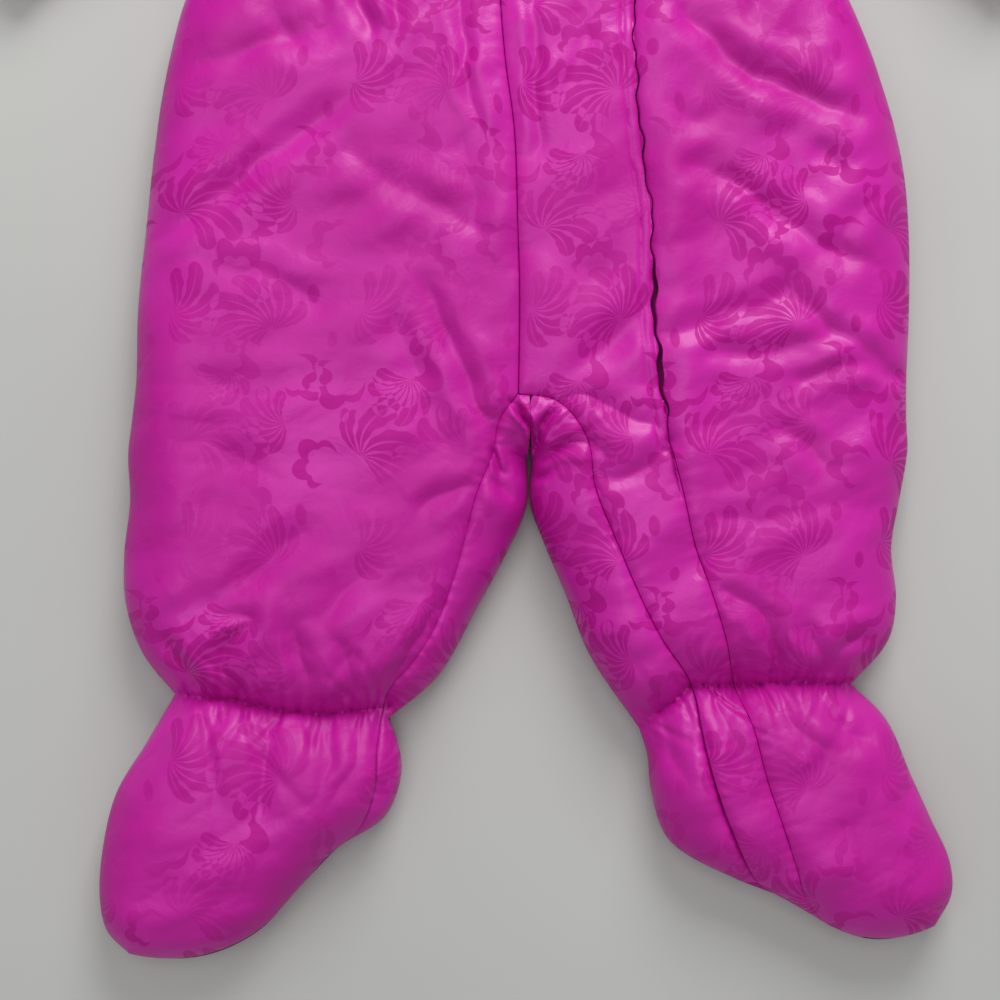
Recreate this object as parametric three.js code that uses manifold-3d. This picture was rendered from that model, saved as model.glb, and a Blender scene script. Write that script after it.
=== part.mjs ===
// Padded baby snowsuit with booties, laid flat on its back with the head towards +Y.
// Every piece of cloth is a closed wall. Its place in plan comes from tables of seam points, and its height
// from the distance to the suit's silhouette, so front and back roll down to meet like two puffed quilts.
// Right and left are the wearer's: the wearer's right half lies at -X.

import * as THREE from 'three';
import { mergeVertices } from 'three/addons/utils/BufferGeometryUtils.js';
import Module from 'manifold-3d';

const wasm = await Module();
wasm.setup();

// Driving dimensions in millimetres
const SEAM_HEIGHT = 14;          // height of the side seams above the table
const FRONT_RISE = 27;           // how far the front puffs up above the side seams
const EDGE_ROLL = 34;            // width over which the front rolls down to a side seam
const UNDER_ROLL = 20;           // the same for the back, which lies flat beyond it
const WALL = 6;                  // padded cloth
const SEAM_GAP = 0.3;            // between two sewn pieces
const JOIN = 0.2;                // overlap of two parts of one piece before they are fused
const SEAM_VALLEY = 2.2;         // how far the padding sinks at a seam
const SEAM_VALLEY_WIDTH = 9;
const LEAST_WALL = 2;            // cloth that the deepest trough leaves
const ROWS_PER_STATION = 2;
const WAIST_Y = 270;
const FLAP_GAP = 1.6;            // open slit beside the flap
const FLAP_CLOSING = 3;          // rows over which the slit narrows to nothing at its lower end
const COLLAR_HEIGHT = 28;
const ZIP_INSET = 7;             // the zip's middle lies this far under the flap
const TAPE_WIDTH = 13;
const TAPE_THICK = 1.2;
const TAPE_CLEAR = 0.9;
const TAPE_PROFILE = [{ across: 0, sunk: 1 }, { across: 0.4, sunk: 1 }, { across: 1, sunk: 0 }];
const TAPE_DIP = 5;              // the zip's middle lies this far under the cloth
const SLIDER_Y = 424;

const MAGENTA = new THREE.MeshStandardMaterial({ color: 0xbb2a93, roughness: 0.5, metalness: 0 });
const TAPE = new THREE.MeshStandardMaterial({ color: 0xa01f7c, roughness: 0.8, metalness: 0 });
const METAL = new THREE.MeshStandardMaterial({ color: 0xb9bcc0, roughness: 0.35, metalness: 1 });

// Seam points of the wearer's right half, waist to toe.
// side: silhouette, front: centre seam and then the inseam and heel seam, inner: crotch seam and inner edge
// of the leg, bow: how far the row sags towards the toe
const RIGHT_HALF = [
  { side: [-154, 270], front: [-8, 270], inner: [0, 270], bow: 0 },
  { side: [-165, 250], front: [-8.5, 249], inner: [1, 249], bow: 0 },
  { side: [-175, 211], front: [-6, 215], inner: [2, 215], bow: 0 },
  { side: [-181, 172], front: [-1.5, 180], inner: [3, 180], bow: 0 },
  { side: [-185, 134], front: [0, 140], inner: [4, 140], bow: 0 },
  { side: [-189, 96], front: [1, 100], inner: [5, 100], bow: 0 },
  { side: [-190, 58], front: [0.5, 52], inner: [6, 52], bow: 0 },
  { side: [-192, 40], front: [-9, 38.5], inner: [6.5, 36], bow: 0 },
  { side: [-194, 22], front: [-12, 23], inner: [5.2, 21], bow: 0 },
  { side: [-193, 0], front: [-20, 3], inner: [4.5, -4], bow: 0 },
  { side: [-196, -28], front: [-29, -31], inner: [-6.8, -29.6], bow: 0 },
  { side: [-195, -52], front: [-38, -57], inner: [-20.5, -54.8], bow: 0 },
  { side: [-187, -76], front: [-50, -78], inner: [-39.5, -88], bow: 0 },
  { side: [-171, -97], front: [-64, -95], inner: [-64, -109], bow: 4 },
  { side: [-185, -121], front: [-69, -119], inner: [-59, -123], bow: 3 },
  { side: [-200, -146], front: [-70, -142], inner: [-58, -138], bow: 3 },
  { side: [-207, -176], front: [-78, -162], inner: [-66, -158], bow: 4 },
  { side: [-208, -199], front: [-92, -176], inner: [-90, -174], bow: 8 },
  { side: [-204, -215], front: [-112, -197], inner: [-110, -195], bow: 9.5 },
  { side: [-193, -226], front: [-125, -212], inner: [-123, -210], bow: 9 },
];

// The same for the wearer's left half. seam: inseam of the leg, flap: free edge of the flap, which runs on
// as a seam down the leg
const LEFT_HALF = [
  { inner: [0, 270], seam: [-8, 270], flap: [56, 270], side: [154, 270], bow: 0 },
  { inner: [1, 249], seam: [-8.5, 249], flap: [56.5, 249], side: [165, 250], bow: 0 },
  { inner: [2, 215], seam: [-6, 215], flap: [57, 217], side: [178.5, 217], bow: 0 },
  { inner: [3, 180], seam: [-1.5, 180], flap: [60, 176], side: [191, 173], bow: 0 },
  { inner: [4, 140], seam: [0, 140], flap: [65, 137], side: [195, 140], bow: 0 },
  { inner: [5, 100], seam: [1, 100], flap: [65.5, 99], side: [195.5, 100], bow: 0 },
  { inner: [6, 52], seam: [0.5, 52], flap: [69, 58], side: [194, 58], bow: 0 },
  { inner: [6.5, 36], seam: [20, 48], flap: [72, 42], side: [194, 41], bow: 0 },
  { inner: [7, 21], seam: [34, 30], flap: [74, 29], side: [194.5, 24], bow: 0 },
  { inner: [6.5, -2], seam: [38, 6], flap: [80, 6], side: [190.5, 0], bow: 0 },
  { inner: [13, -20.5], seam: [47, -17], flap: [86, -20], side: [186.5, -24], bow: 0 },
  { inner: [24, -46.5], seam: [58, -43], flap: [93.5, -42], side: [189, -49], bow: 0 },
  { inner: [36.5, -77.8], seam: [70, -67], flap: [101, -66], side: [185, -70], bow: 0 },
  { inner: [61, -114], seam: [86, -91], flap: [108, -93], side: [167, -92], bow: 4 },
  { inner: [65, -127], seam: [90, -112], flap: [115, -111], side: [184, -109], bow: 3 },
  { inner: [67, -145], seam: [95, -134], flap: [121, -134], side: [196, -136], bow: 3 },
  { inner: [76, -170], seam: [103, -157], flap: [129, -158], side: [206, -158], bow: 3 },
  { inner: [110, -189.5], seam: [119, -189], flap: [137, -182], side: [215.5, -179], bow: 6 },
  { inner: [131, -198], seam: [133, -199], flap: [141, -194], side: [216.5, -196], bow: 9 },
  { inner: [147, -207], seam: [149, -208], flap: [151, -209], side: [208, -212], bow: 9 },
];
const CROTCH = 6;                // station where the backs come round onto the front
const ANKLE = 13;                // station where the leg ends in a sharp notch above the bootie
const CROTCH_TIP = 8;            // station where the legs part
const OPENING_END = 8;           // station where the flap is sewn shut
const HEEL = 14;                 // station where the back gives way to the sole
const WRAP_TIP = { right: 0.3, left: 0.7 };   // share of a row by which the backs start past the crotch

// Upper body. Side seam up to the underarm, flap edge up to the neck
const BODICE_SIDE = [[154, WAIST_Y], [149, 290], [148, 310], [149, 328], [151, 344]];
const ARMHOLE = { low: [151, 344], high: [126, 441], bow: 12 };
const FLAP_TOP = [[56, WAIST_Y], [53, 300], [47, 350], [40, 400], [35, 440]];
const CENTRE_X = -8;
const NECK_HALF = 55;
const NECK_SIDE_Y = 459;
const FRONT_NECK_Y = 436;
const BACK_NECK_Y = 452;
const COLLAR_TOP_HALF = 53;
const SLEEVE = {
  top: [[126, 441], [180, 403], [238, 354], [285, 315]],
  low: [[151, 344], [186, 318], [216, 286], [243, 256]],
};
const SHOULDER = [[126, 441], [92, 451], [55, 459]];
const ARMHOLE_STEPS = 6;
const SLEEVE_CLEAR = [0.66, -0.46];   // how far the sleeve's head stands off the armhole, along the arm

// Elastics, as lines across the suit: how much of the puff is left on the line, and how wide it pulls
const ELASTICS = [
  { along: [[-170, -97], [-118, -101], [-64, -102]], keeps: 0.52, reach: 15 },
  { along: [[61, -114], [86, -91], [167, -92]], keeps: 0.52, reach: 15 },
  { along: [[-154, 272], [154, 272]], keeps: 0.72, reach: 24 },
  { along: [[285, 315], [243, 256]], keeps: 0.5, reach: 22 },
  { along: [[-285, 315], [-243, 256]], keeps: 0.5, reach: 22 },
  { along: [[-55, 458], [55, 458]], keeps: 0.6, reach: 26 },
];

// The largest folds, each a trough that runs between two points. A minus depth is a ridge
const FOLDS = [
  { from: [-78, 233], to: [-157, 212], depth: 1.8, width: 9 },
  { from: [-77, 200], to: [-179, 124], depth: 2.0, width: 9 },
  { from: [-83, 170], to: [-10, 129], depth: 1.6, width: 9 },
  { from: [-147, 113], to: [-99, 97], depth: 1.6, width: 8 },
  { from: [-46, 104], to: [-11, 28], depth: 2.4, width: 8 },
  { from: [-20, 7], to: [-48, -6], depth: 1.8, width: 7 },
  { from: [-102, -14], to: [-163, -59], depth: 1.8, width: 10 },
  { from: [-147, -57], to: [-140, -92], depth: 2.2, width: 7 },
  { from: [-172, -67], to: [-160, -90], depth: 2.0, width: 6 },
  { from: [-40, -52], to: [-62, -84], depth: 1.8, width: 6 },
  { from: [80, 240], to: [167, 186], depth: 2.8, width: 9 },
  { from: [80, 164], to: [175, 113], depth: 2.2, width: 10 },
  { from: [68, 78], to: [132, 101], depth: 1.8, width: 8 },
  { from: [132, 100], to: [189, 62], depth: 2.4, width: 8 },
  { from: [90, 70], to: [147, 78], depth: 1.6, width: 7 },
  { from: [135, 57], to: [191, 59], depth: 1.8, width: 6 },
  { from: [127, 36], to: [151, 19], depth: 1.6, width: 7 },
  { from: [93, -8], to: [135, -6], depth: 1.4, width: 8 },
  { from: [98, -43], to: [127, -91], depth: 2.0, width: 7 },
  { from: [152, -86], to: [175, -67], depth: 1.8, width: 7 },
  { from: [20, 58], to: [60, 90], depth: 1.4, width: 8 },
  { from: [35, 29], to: [45, 20], depth: 1.4, width: 5 },
  { from: [9, 34], to: [7, 22], depth: 2.6, width: 5 },
  { from: [-123, -106], to: [-126, -153], depth: 1.8, width: 8 },
  { from: [-166, -101], to: [-182, -140], depth: 1.8, width: 8 },
  { from: [-78, 249], to: [-74, 238], depth: 2.4, width: 8 },
  { from: [-28, 249], to: [-20, 180], depth: 1.6, width: 6 },
];
const HEEL_STEP = 2.5;           // the heel lies this much lower than the upper beside it
const HEEL_STEP_WIDTH = 7;

// Points of a smooth curve through the stations, ROWS_PER_STATION to each
function curveThrough(points, steps) {
  const curve = new THREE.CatmullRomCurve3(points.map(([x, y]) => new THREE.Vector3(x, y, 0)));
  const count = (points.length - 1) * steps;
  return Array.from({ length: count + 1 }, (_, i) => {
    const p = curve.getPoint(i / count);
    return [p.x, p.y];
  });
}

// A column of seam points with corners at some stations, as curves that meet there
function corneredCurve(half, column, corners) {
  const points = half.map((row) => row[column]);
  const ends = [0, ...corners, points.length - 1];
  return ends.slice(1).reduce((curve, end, i) => (
    curve.concat(curveThrough(points.slice(ends[i], end + 1), ROWS_PER_STATION).slice(i === 0 ? 0 : 1))
  ), []);
}

const bowCurve = (half) => (
  curveThrough(half.map((row, i) => [row.bow, i]), ROWS_PER_STATION).map((p) => p[0])
);
const mirrored = (points) => points.map(([x, y]) => [-x, y]);
const mixPoint = (a, b, t) => [a[0] + (b[0] - a[0]) * t, a[1] + (b[1] - a[1]) * t];

// A row of points from a to b that sags by bow to the right of its direction
function rowOfPoints(a, b, bow, fractions) {
  const length = Math.hypot(b[0] - a[0], b[1] - a[1]);
  const down = [(b[1] - a[1]) / length, -(b[0] - a[0]) / length];
  return fractions.map((f) => {
    const [x, y] = mixPoint(a, b, f);
    const sag = bow * 4 * f * (1 - f);
    return [x + down[0] * sag, y + down[1] * sag];
  });
}

// Fractions from 0 to 1 that crowd towards the ends asked for
function crowded(count, atStart, atEnd) {
  return Array.from({ length: count + 1 }, (_, i) => {
    const f = i / count;
    if (atStart && atEnd) return (1 - Math.cos(Math.PI * f)) / 2;
    if (atStart) return 1 - Math.cos((Math.PI / 2) * f);
    if (atEnd) return Math.sin((Math.PI / 2) * f);
    return f;
  });
}

// All seam curves in plan
const right = {
  side: corneredCurve(RIGHT_HALF, 'side', [ANKLE]),
  front: corneredCurve(RIGHT_HALF, 'front', [CROTCH]),
  inner: corneredCurve(RIGHT_HALF, 'inner', [CROTCH_TIP, ANKLE]),
  bow: bowCurve(RIGHT_HALF),
};
const left = {
  side: corneredCurve(LEFT_HALF, 'side', [ANKLE]),
  seam: corneredCurve(LEFT_HALF, 'seam', [CROTCH]),
  flap: corneredCurve(LEFT_HALF, 'flap', []),
  inner: corneredCurve(LEFT_HALF, 'inner', [CROTCH_TIP, ANKLE]),
  bow: bowCurve(LEFT_HALF),
};
const armholeRow = crowded(ARMHOLE_STEPS, true, true);
const armholeLeft = rowOfPoints(ARMHOLE.high, ARMHOLE.low, ARMHOLE.bow, armholeRow).reverse();
const sleeveTop = curveThrough(SLEEVE.top, 3);
const sleeveLow = curveThrough(SLEEVE.low, 3);
const sideLeft = curveThrough(BODICE_SIDE, 1);
const neckSide = [[NECK_HALF, NECK_SIDE_Y], [COLLAR_TOP_HALF, NECK_SIDE_Y + COLLAR_HEIGHT]];
const shoulder = curveThrough(SHOULDER, 2);

// The silhouette, run with the cloth on its left. The sleeve ends and the neck are open and left out
const last = right.side.length - 1;
const toeRow = crowded(40, true, true);
const toeRight = rowOfPoints(right.side[last], right.inner[last], right.bow[last], toeRow);
const toeLeft = rowOfPoints(left.inner[last], left.side[last], left.bow[last], toeRow);
const tipRow = CROTCH_TIP * ROWS_PER_STATION;
const SILHOUETTE = [
  [
    ...mirrored(sleeveLow).reverse(), ...mirrored(sideLeft).reverse().slice(1),
    ...right.side.slice(1), ...toeRight.slice(1), ...right.inner.slice(tipRow, last).reverse(),
    ...left.inner.slice(tipRow, last), ...toeLeft, ...left.side.slice(0, last).reverse(),
    ...sideLeft.slice(1), ...sleeveLow.slice(1),
  ],
  [...[...sleeveTop].reverse(), ...shoulder.slice(1), ...neckSide.slice(1)],
  [
    ...mirrored(neckSide).reverse(), ...mirrored(shoulder).reverse().slice(1),
    ...mirrored(sleeveTop).slice(1),
  ],
];

// Nearest point of a polyline: its distance and place
function nearestOn(line, x, y) {
  let best = { distance: Infinity };
  for (let i = 0; i + 1 < line.length; i += 1) {
    const [ax, ay] = line[i];
    const dx = line[i + 1][0] - ax;
    const dy = line[i + 1][1] - ay;
    const share = ((x - ax) * dx + (y - ay) * dy) / (dx * dx + dy * dy || 1);
    const f = THREE.MathUtils.clamp(share, 0, 1);
    const distance = Math.hypot(x - ax - f * dx, y - ay - f * dy);
    if (distance < best.distance) {
      best = { distance, index: i, f, x: ax + f * dx, y: ay + f * dy };
    }
  }
  return best;
}

// Unit normal of a polyline at one of its points, towards the cloth
function normalAt(line, index) {
  const a = line[Math.max(index - 1, 0)];
  const b = line[Math.min(index + 1, line.length - 1)];
  const length = Math.hypot(b[0] - a[0], b[1] - a[1]);
  return [-(b[1] - a[1]) / length, (b[0] - a[0]) / length];
}

// Distance to the silhouette, nought on it and beyond it, and the direction from it to the cloth
const ON_EDGE = 0.5;
const TOUCHING = 0.08;
const SHARP_TURN = 0.85;
function fromSilhouette(x, y) {
  const found = SILHOUETTE.map((line) => ({ line, ...nearestOn(line, x, y) }));
  const best = found.reduce((a, b) => (b.distance < a.distance ? b : a));
  const { line, index, f } = best;
  const own = [line[index][1] - line[index + 1][1], line[index + 1][0] - line[index][0]];
  const ownLength = Math.hypot(own[0], own[1]);
  const smooth = mixPoint(normalAt(line, index), normalAt(line, index + 1), f);
  const offset = [x - best.x, y - best.y];
  const onClothSide = offset[0] * smooth[0] + offset[1] * smooth[1] > 0;
  if (best.distance > ON_EDGE && onClothSide) {
    return { distance: best.distance, away: [offset[0] / best.distance, offset[1] / best.distance] };
  }
  const inward = (offset[0] * own[0] + offset[1] * own[1]) / ownLength;
  const turn = (own[0] * smooth[0] + own[1] * smooth[1]) / ownLength;
  const n = line !== SILHOUETTE[0] && turn < SHARP_TURN ? own : smooth;
  const length = Math.hypot(n[0], n[1]);
  return { distance: inward < TOUCHING ? 0 : best.distance, away: [n[0] / length, n[1] / length] };
}

const lineDistance = (line, x, y) => nearestOn(line, x, y).distance;
const bell = (distance, width) => Math.exp(-((distance / width) ** 2));
const quarterRound = (f) => Math.sqrt(1 - (1 - Math.min(f, 1)) ** 2);

// Part of the puff that the elastics leave at a point
function puffLeft(x, y) {
  const left = (e) => 1 - (1 - e.keeps) * bell(lineDistance(e.along, x, y), e.reach);
  return ELASTICS.reduce((puff, e) => puff * left(e), 1);
}

// Seams that pull the padding down, as lines in plan
const centreFront = [[CENTRE_X, FRONT_NECK_Y], ...right.front];
const VALLEYS = [centreFront, left.seam, left.flap.slice(tipRow), armholeLeft, mirrored(armholeLeft)];
const heelLine = (points) => points.slice((HEEL - 1) * ROWS_PER_STATION, (HEEL + 3) * ROWS_PER_STATION);
const HEELS = [heelLine(right.front), heelLine(left.seam)];

// How far folds, seams and the heel step lower the outer face of the front at a point
function sunk(x, y, heel) {
  const trough = (line, depth, width) => depth * bell(lineDistance(line, x, y), width);
  const inFolds = FOLDS.reduce((sum, f) => sum + trough([f.from, f.to], f.depth, f.width), 0);
  const inSeams = Math.max(...VALLEYS.map((line) => trough(line, SEAM_VALLEY, SEAM_VALLEY_WIDTH)));
  const atHeel = heel ? Math.max(...HEELS.map((line) => trough(line, HEEL_STEP, HEEL_STEP_WIDTH))) : 0;
  return Math.min(inFolds + inSeams + atHeel, WALL - LEAST_WALL);
}

// Outer and inner point of the wall at a place in plan, on the front or the back
function wallAt([x, y], face, options) {
  const { distance, away } = fromSilhouette(x, y);
  const roll = quarterRound(distance / (face === 'front' ? EDGE_ROLL : UNDER_ROLL));
  const inset = WALL * Math.max(1 - distance / EDGE_ROLL, 0);
  const inner = [x + away[0] * inset, y + away[1] * inset];
  if (face === 'back') {
    const base = SEAM_HEIGHT - SEAM_GAP / 2;
    return { outer: [x, y, base * (1 - roll)], inner: [...inner, base - (base - WALL) * roll] };
  }
  const rise = FRONT_RISE * puffLeft(x, y);
  const foot = distance === 0 && options.join ? -SEAM_GAP / 2 - JOIN : SEAM_GAP / 2;
  const base = SEAM_HEIGHT + foot;
  return {
    outer: [x, y, base + rise * roll - sunk(x, y, options.heel) * roll],
    inner: [...inner, base + (rise - WALL) * roll],
  };
}

// A closed wall from a grid of outer and inner points: two faces and a strip round the border
function wallGeometry(grid) {
  const rows = grid.length;
  const columns = grid[0].length;
  const positions = [];
  for (const layer of ['outer', 'inner']) {
    for (const row of grid) for (const point of row) positions.push(...point[layer]);
  }
  const at = (layer, r, c) => layer * rows * columns + r * columns + c;
  const index = [];
  const quad = (a, b, c, d) => index.push(a, b, c, a, c, d);
  for (let r = 0; r + 1 < rows; r += 1) {
    for (let c = 0; c + 1 < columns; c += 1) {
      quad(at(0, r, c), at(0, r + 1, c), at(0, r + 1, c + 1), at(0, r, c + 1));
      quad(at(1, r, c), at(1, r, c + 1), at(1, r + 1, c + 1), at(1, r + 1, c));
    }
  }
  for (let r = 0; r + 1 < rows; r += 1) {
    quad(at(0, r, 0), at(1, r, 0), at(1, r + 1, 0), at(0, r + 1, 0));
    quad(at(0, r, columns - 1), at(0, r + 1, columns - 1), at(1, r + 1, columns - 1), at(1, r, columns - 1));
  }
  for (let c = 0; c + 1 < columns; c += 1) {
    quad(at(0, 0, c), at(0, 0, c + 1), at(1, 0, c + 1), at(1, 0, c));
    quad(at(0, rows - 1, c), at(1, rows - 1, c), at(1, rows - 1, c + 1), at(0, rows - 1, c + 1));
  }
  const geometry = new THREE.BufferGeometry();
  geometry.setAttribute('position', new THREE.Float32BufferAttribute(positions, 3));
  geometry.setIndex(index);
  return geometry;
}

// Six times the volume inside a closed mesh, minus if its faces point inwards
function signedVolume(geometry) {
  const p = geometry.getAttribute('position');
  const index = geometry.getIndex().array;
  const [a, b, c] = [new THREE.Vector3(), new THREE.Vector3(), new THREE.Vector3()];
  let sum = 0;
  for (let i = 0; i < index.length; i += 3) {
    a.fromBufferAttribute(p, index[i]);
    b.fromBufferAttribute(p, index[i + 1]);
    c.fromBufferAttribute(p, index[i + 2]);
    sum += a.dot(b.cross(c));
  }
  return sum;
}

function facingOut(geometry) {
  if (signedVolume(geometry) < 0) geometry.getIndex().array.reverse();
  return geometry;
}

// A patch of cloth between two curves in plan. Rows are pulled in by half a seam gap at their sewn ends
const PATCH = { crowd: [true, true], pull: [true, true], face: 'front' };
function patch(description) {
  const { start, end, bow, columns, crowd, pull, face, ...options } = { ...PATCH, ...description };
  const fractions = crowded(columns, ...crowd);
  const grid = start.map((a, i) => {
    const b = end[i];
    const trim = SEAM_GAP / 2 / Math.hypot(b[0] - a[0], b[1] - a[1]);
    const [pullStart, pullEnd] = typeof pull === 'function' ? pull(i) : pull;
    const from = pullStart ? trim : 0;
    const to = pullEnd ? 1 - trim : 1;
    const places = rowOfPoints(a, b, bow ? bow[i] : 0, fractions.map((f) => from + (to - from) * f));
    const join = options.join && options.join(i);
    return places.map((place) => wallAt(place, face, { ...options, join }));
  });
  return facingOut(wallGeometry(grid));
}

// Fuses closed meshes into one
function fused(...geometries) {
  const solids = geometries.map((geometry) => {
    const bare = geometry.clone();
    bare.deleteAttribute('normal');
    bare.deleteAttribute('uv');
    const merged = mergeVertices(bare);
    return new wasm.Manifold(new wasm.Mesh({
      numProp: 3,
      vertProperties: new Float32Array(merged.getAttribute('position').array),
      triVerts: new Uint32Array(merged.getIndex().array),
    }));
  });
  const mesh = solids.reduce((a, b) => a.add(b)).getMesh();
  const geometry = new THREE.BufferGeometry();
  geometry.setAttribute('position', new THREE.Float32BufferAttribute(mesh.vertProperties, 3));
  geometry.setIndex(Array.from(mesh.triVerts));
  return geometry;
}

const suit = new THREE.Group();
function addPiece(name, geometry, material = MAGENTA) {
  const mesh = new THREE.Mesh(geometry, material);
  mesh.name = name;
  suit.add(mesh);
  return mesh;
}

const rowsTo = (points, station) => points.slice(0, station * ROWS_PER_STATION + 1);

// Trouser fronts, each one piece from the waist over the ankle elastic to the toe
addPiece('front_right', patch({
  start: right.side, end: right.front, bow: right.bow, columns: 13, pull: [false, true],
}));
addPiece('front_centre', patch({ start: left.seam, end: left.flap, columns: 6 }));
const openRows = OPENING_END * ROWS_PER_STATION;
const slit = left.flap.map(([x, y], i) => {
  const open = THREE.MathUtils.clamp((openRows - i) / FLAP_CLOSING, 0, 1);
  return [x + FLAP_GAP * open, y];
});
addPiece('front_left', patch({
  start: slit, end: left.side, bow: left.bow, columns: 10, pull: [true, false],
}));

// Trouser backs: the flat underside, and the part that comes round the inner leg onto the front
const heelRow = HEEL * ROWS_PER_STATION;
const crotchRow = CROTCH * ROWS_PER_STATION;
const wrapEnd = (HEEL + 3) * ROWS_PER_STATION;
const wrapRows = (points, tip) => [
  mixPoint(points[crotchRow], points[crotchRow + 1], tip), ...points.slice(crotchRow + 1, wrapEnd + 1),
];
const joinRows = (i) => i + crotchRow >= tipRow && i + crotchRow <= heelRow - 1;
const backRight = patch({
  start: rowsTo(right.side, HEEL), end: rowsTo(right.inner, HEEL), columns: 9,
  pull: (i) => [false, i < tipRow], face: 'back',
});
const wrapRight = patch({
  start: wrapRows(right.front, WRAP_TIP.right), end: wrapRows(right.inner, WRAP_TIP.right),
  columns: 4, crowd: [false, true], pull: (i) => [true, i + crotchRow < tipRow], join: joinRows, heel: true,
});
addPiece('back_right', fused(backRight, wrapRight));
const backLeft = patch({
  start: rowsTo(left.inner, HEEL), end: rowsTo(left.side, HEEL), columns: 9,
  pull: (i) => [i < tipRow, false], face: 'back',
});
const wrapLeft = patch({
  start: wrapRows(left.inner, WRAP_TIP.left), end: wrapRows(left.seam, WRAP_TIP.left),
  columns: 4, crowd: [true, false], pull: (i) => [i + crotchRow < tipRow, true], join: joinRows, heel: true,
});
addPiece('back_left', fused(backLeft, wrapLeft));

// Bootie soles
const soleRows = (points) => (
  points.slice(heelRow).map(([x, y], i) => [x, i === 0 ? y - SEAM_GAP : y])
);
addPiece('sole_right', patch({
  start: soleRows(right.side), end: soleRows(right.inner), bow: right.bow.slice(heelRow),
  columns: 8, pull: [false, false], face: 'back',
}));
addPiece('sole_left', patch({
  start: soleRows(left.inner), end: soleRows(left.side), bow: left.bow.slice(heelRow),
  columns: 8, pull: [false, false], face: 'back',
}));

// Upper body. Its rows climb from the waist to the shoulder line and the neck
function topEdge(x, neckY) {
  const out = Math.abs(x);
  if (out <= NECK_HALF) return neckY + (NECK_SIDE_Y - neckY) * (out / NECK_HALF) ** 2;
  return heightOn(shoulder, out);
}

// Height of a polyline where it passes x
function heightOn(line, x) {
  const i = line.findIndex((p, k) => k + 1 < line.length && (x - p[0]) * (x - line[k + 1][0]) <= 0);
  if (i < 0) return line[0][1];
  const [a, b] = [line[i], line[i + 1]];
  return a[1] + ((b[1] - a[1]) * (x - a[0])) / (b[0] - a[0] || 1);
}

const bodiceSide = [...sideLeft, ...armholeLeft.slice(1)];
const sideClimb = bodiceSide.map(([, y]) => (y - WAIST_Y) / (ARMHOLE.high[1] - WAIST_Y));
const bodiceBase = WAIST_Y + SEAM_GAP;
const flapLine = curveThrough(FLAP_TOP, 10);
const flapX = (y) => {
  const i = Math.max(flapLine.findIndex((p, k) => k + 1 < flapLine.length && y <= flapLine[k + 1][1]), 0);
  const top = y > flapLine.at(-1)[1] ? flapLine.length - 2 : i;
  const [a, b] = [flapLine[top], flapLine[top + 1]];
  return a[0] + ((b[0] - a[0]) * (y - a[1])) / (b[1] - a[1]);
};

// Patch of the upper body between two functions that give x for a climb from 0 to 1. Its top row is kept for
// the neckband
const necklines = { front: [], back: [] };
function bodicePatch({ fromX, toX, neckY, columns, face = 'front' }) {
  const fractions = crowded(columns, true, true);
  const grid = sideClimb.map((climb, i) => {
    const a = fromX(climb, i) + SEAM_GAP / 2;
    const b = toX(climb, i) - SEAM_GAP / 2;
    return fractions.map((f) => {
      const x = a + (b - a) * f;
      const y = bodiceBase + (topEdge(x, neckY) - bodiceBase) * climb;
      return [x, y];
    });
  });
  necklines[face].push(...grid.at(-1));
  return facingOut(wallGeometry(grid.map((row) => row.map((place) => wallAt(place, face, {})))));
}
const climbY = (climb) => bodiceBase + (FRONT_NECK_Y - bodiceBase) * climb;
const sideX = (climb, i) => bodiceSide[i][0];
addPiece('bodice_front_right', bodicePatch({
  fromX: (c, i) => -sideX(c, i), toX: () => CENTRE_X, neckY: FRONT_NECK_Y, columns: 8,
}));
addPiece('bodice_front_centre', bodicePatch({
  fromX: () => CENTRE_X, toX: (c) => flapX(climbY(c)), neckY: FRONT_NECK_Y, columns: 4,
}));
addPiece('bodice_front_left', bodicePatch({
  fromX: (c) => flapX(climbY(c)) + FLAP_GAP, toX: sideX, neckY: FRONT_NECK_Y, columns: 7,
}));
addPiece('bodice_back', bodicePatch({
  fromX: (c, i) => -sideX(c, i), toX: sideX, neckY: BACK_NECK_Y, columns: 12, face: 'back',
}));

// Sleeves, a little clear of the armhole: front and back faces of one tube, fused along its two edges
function sleeve(sign) {
  const steps = sleeveTop.length - 1;
  const halves = ['front', 'back'].map((face) => {
    const grid = sleeveTop.map((top, i) => {
      const row = rowOfPoints(top, sleeveLow[i], ARMHOLE.bow * (1 - i / steps), armholeRow);
      const [clearX, clearY] = i === 0 ? SLEEVE_CLEAR : [0, 0];
      return row.map(([x, y]) => wallAt([sign * (x + clearX), y + clearY], face, { join: true }));
    });
    return facingOut(wallGeometry(grid));
  });
  return fused(...halves);
}
addPiece('sleeve_right', sleeve(-1));
addPiece('sleeve_left', sleeve(1));

// Neckband: right front, back and left front in one, slit at the zip. It stands on the necklines kept above
const COLLAR_FOOT = 3 * SEAM_GAP;
function collarPatch(fromX, toX, face, columns) {
  const grid = [0, 0.5, 1].map((climb) => crowded(columns, false, false).map((f) => {
    const x = fromX(climb) + (toX(climb) - fromX(climb)) * f;
    const foot = fromX(0) + (toX(0) - fromX(0)) * f;
    const neckY = Math.abs(foot) >= NECK_HALF ? NECK_SIDE_Y : heightOn(necklines[face], foot);
    const y = neckY + COLLAR_FOOT + (COLLAR_HEIGHT - 2 * SEAM_GAP) * climb;
    return wallAt([x, y], face, { join: true });
  }));
  return facingOut(wallGeometry(grid));
}
const collarX = (climb) => NECK_HALF + (COLLAR_TOP_HALF - NECK_HALF) * climb;
const zipX = (climb) => flapX(FRONT_NECK_Y + COLLAR_HEIGHT * climb);
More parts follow.
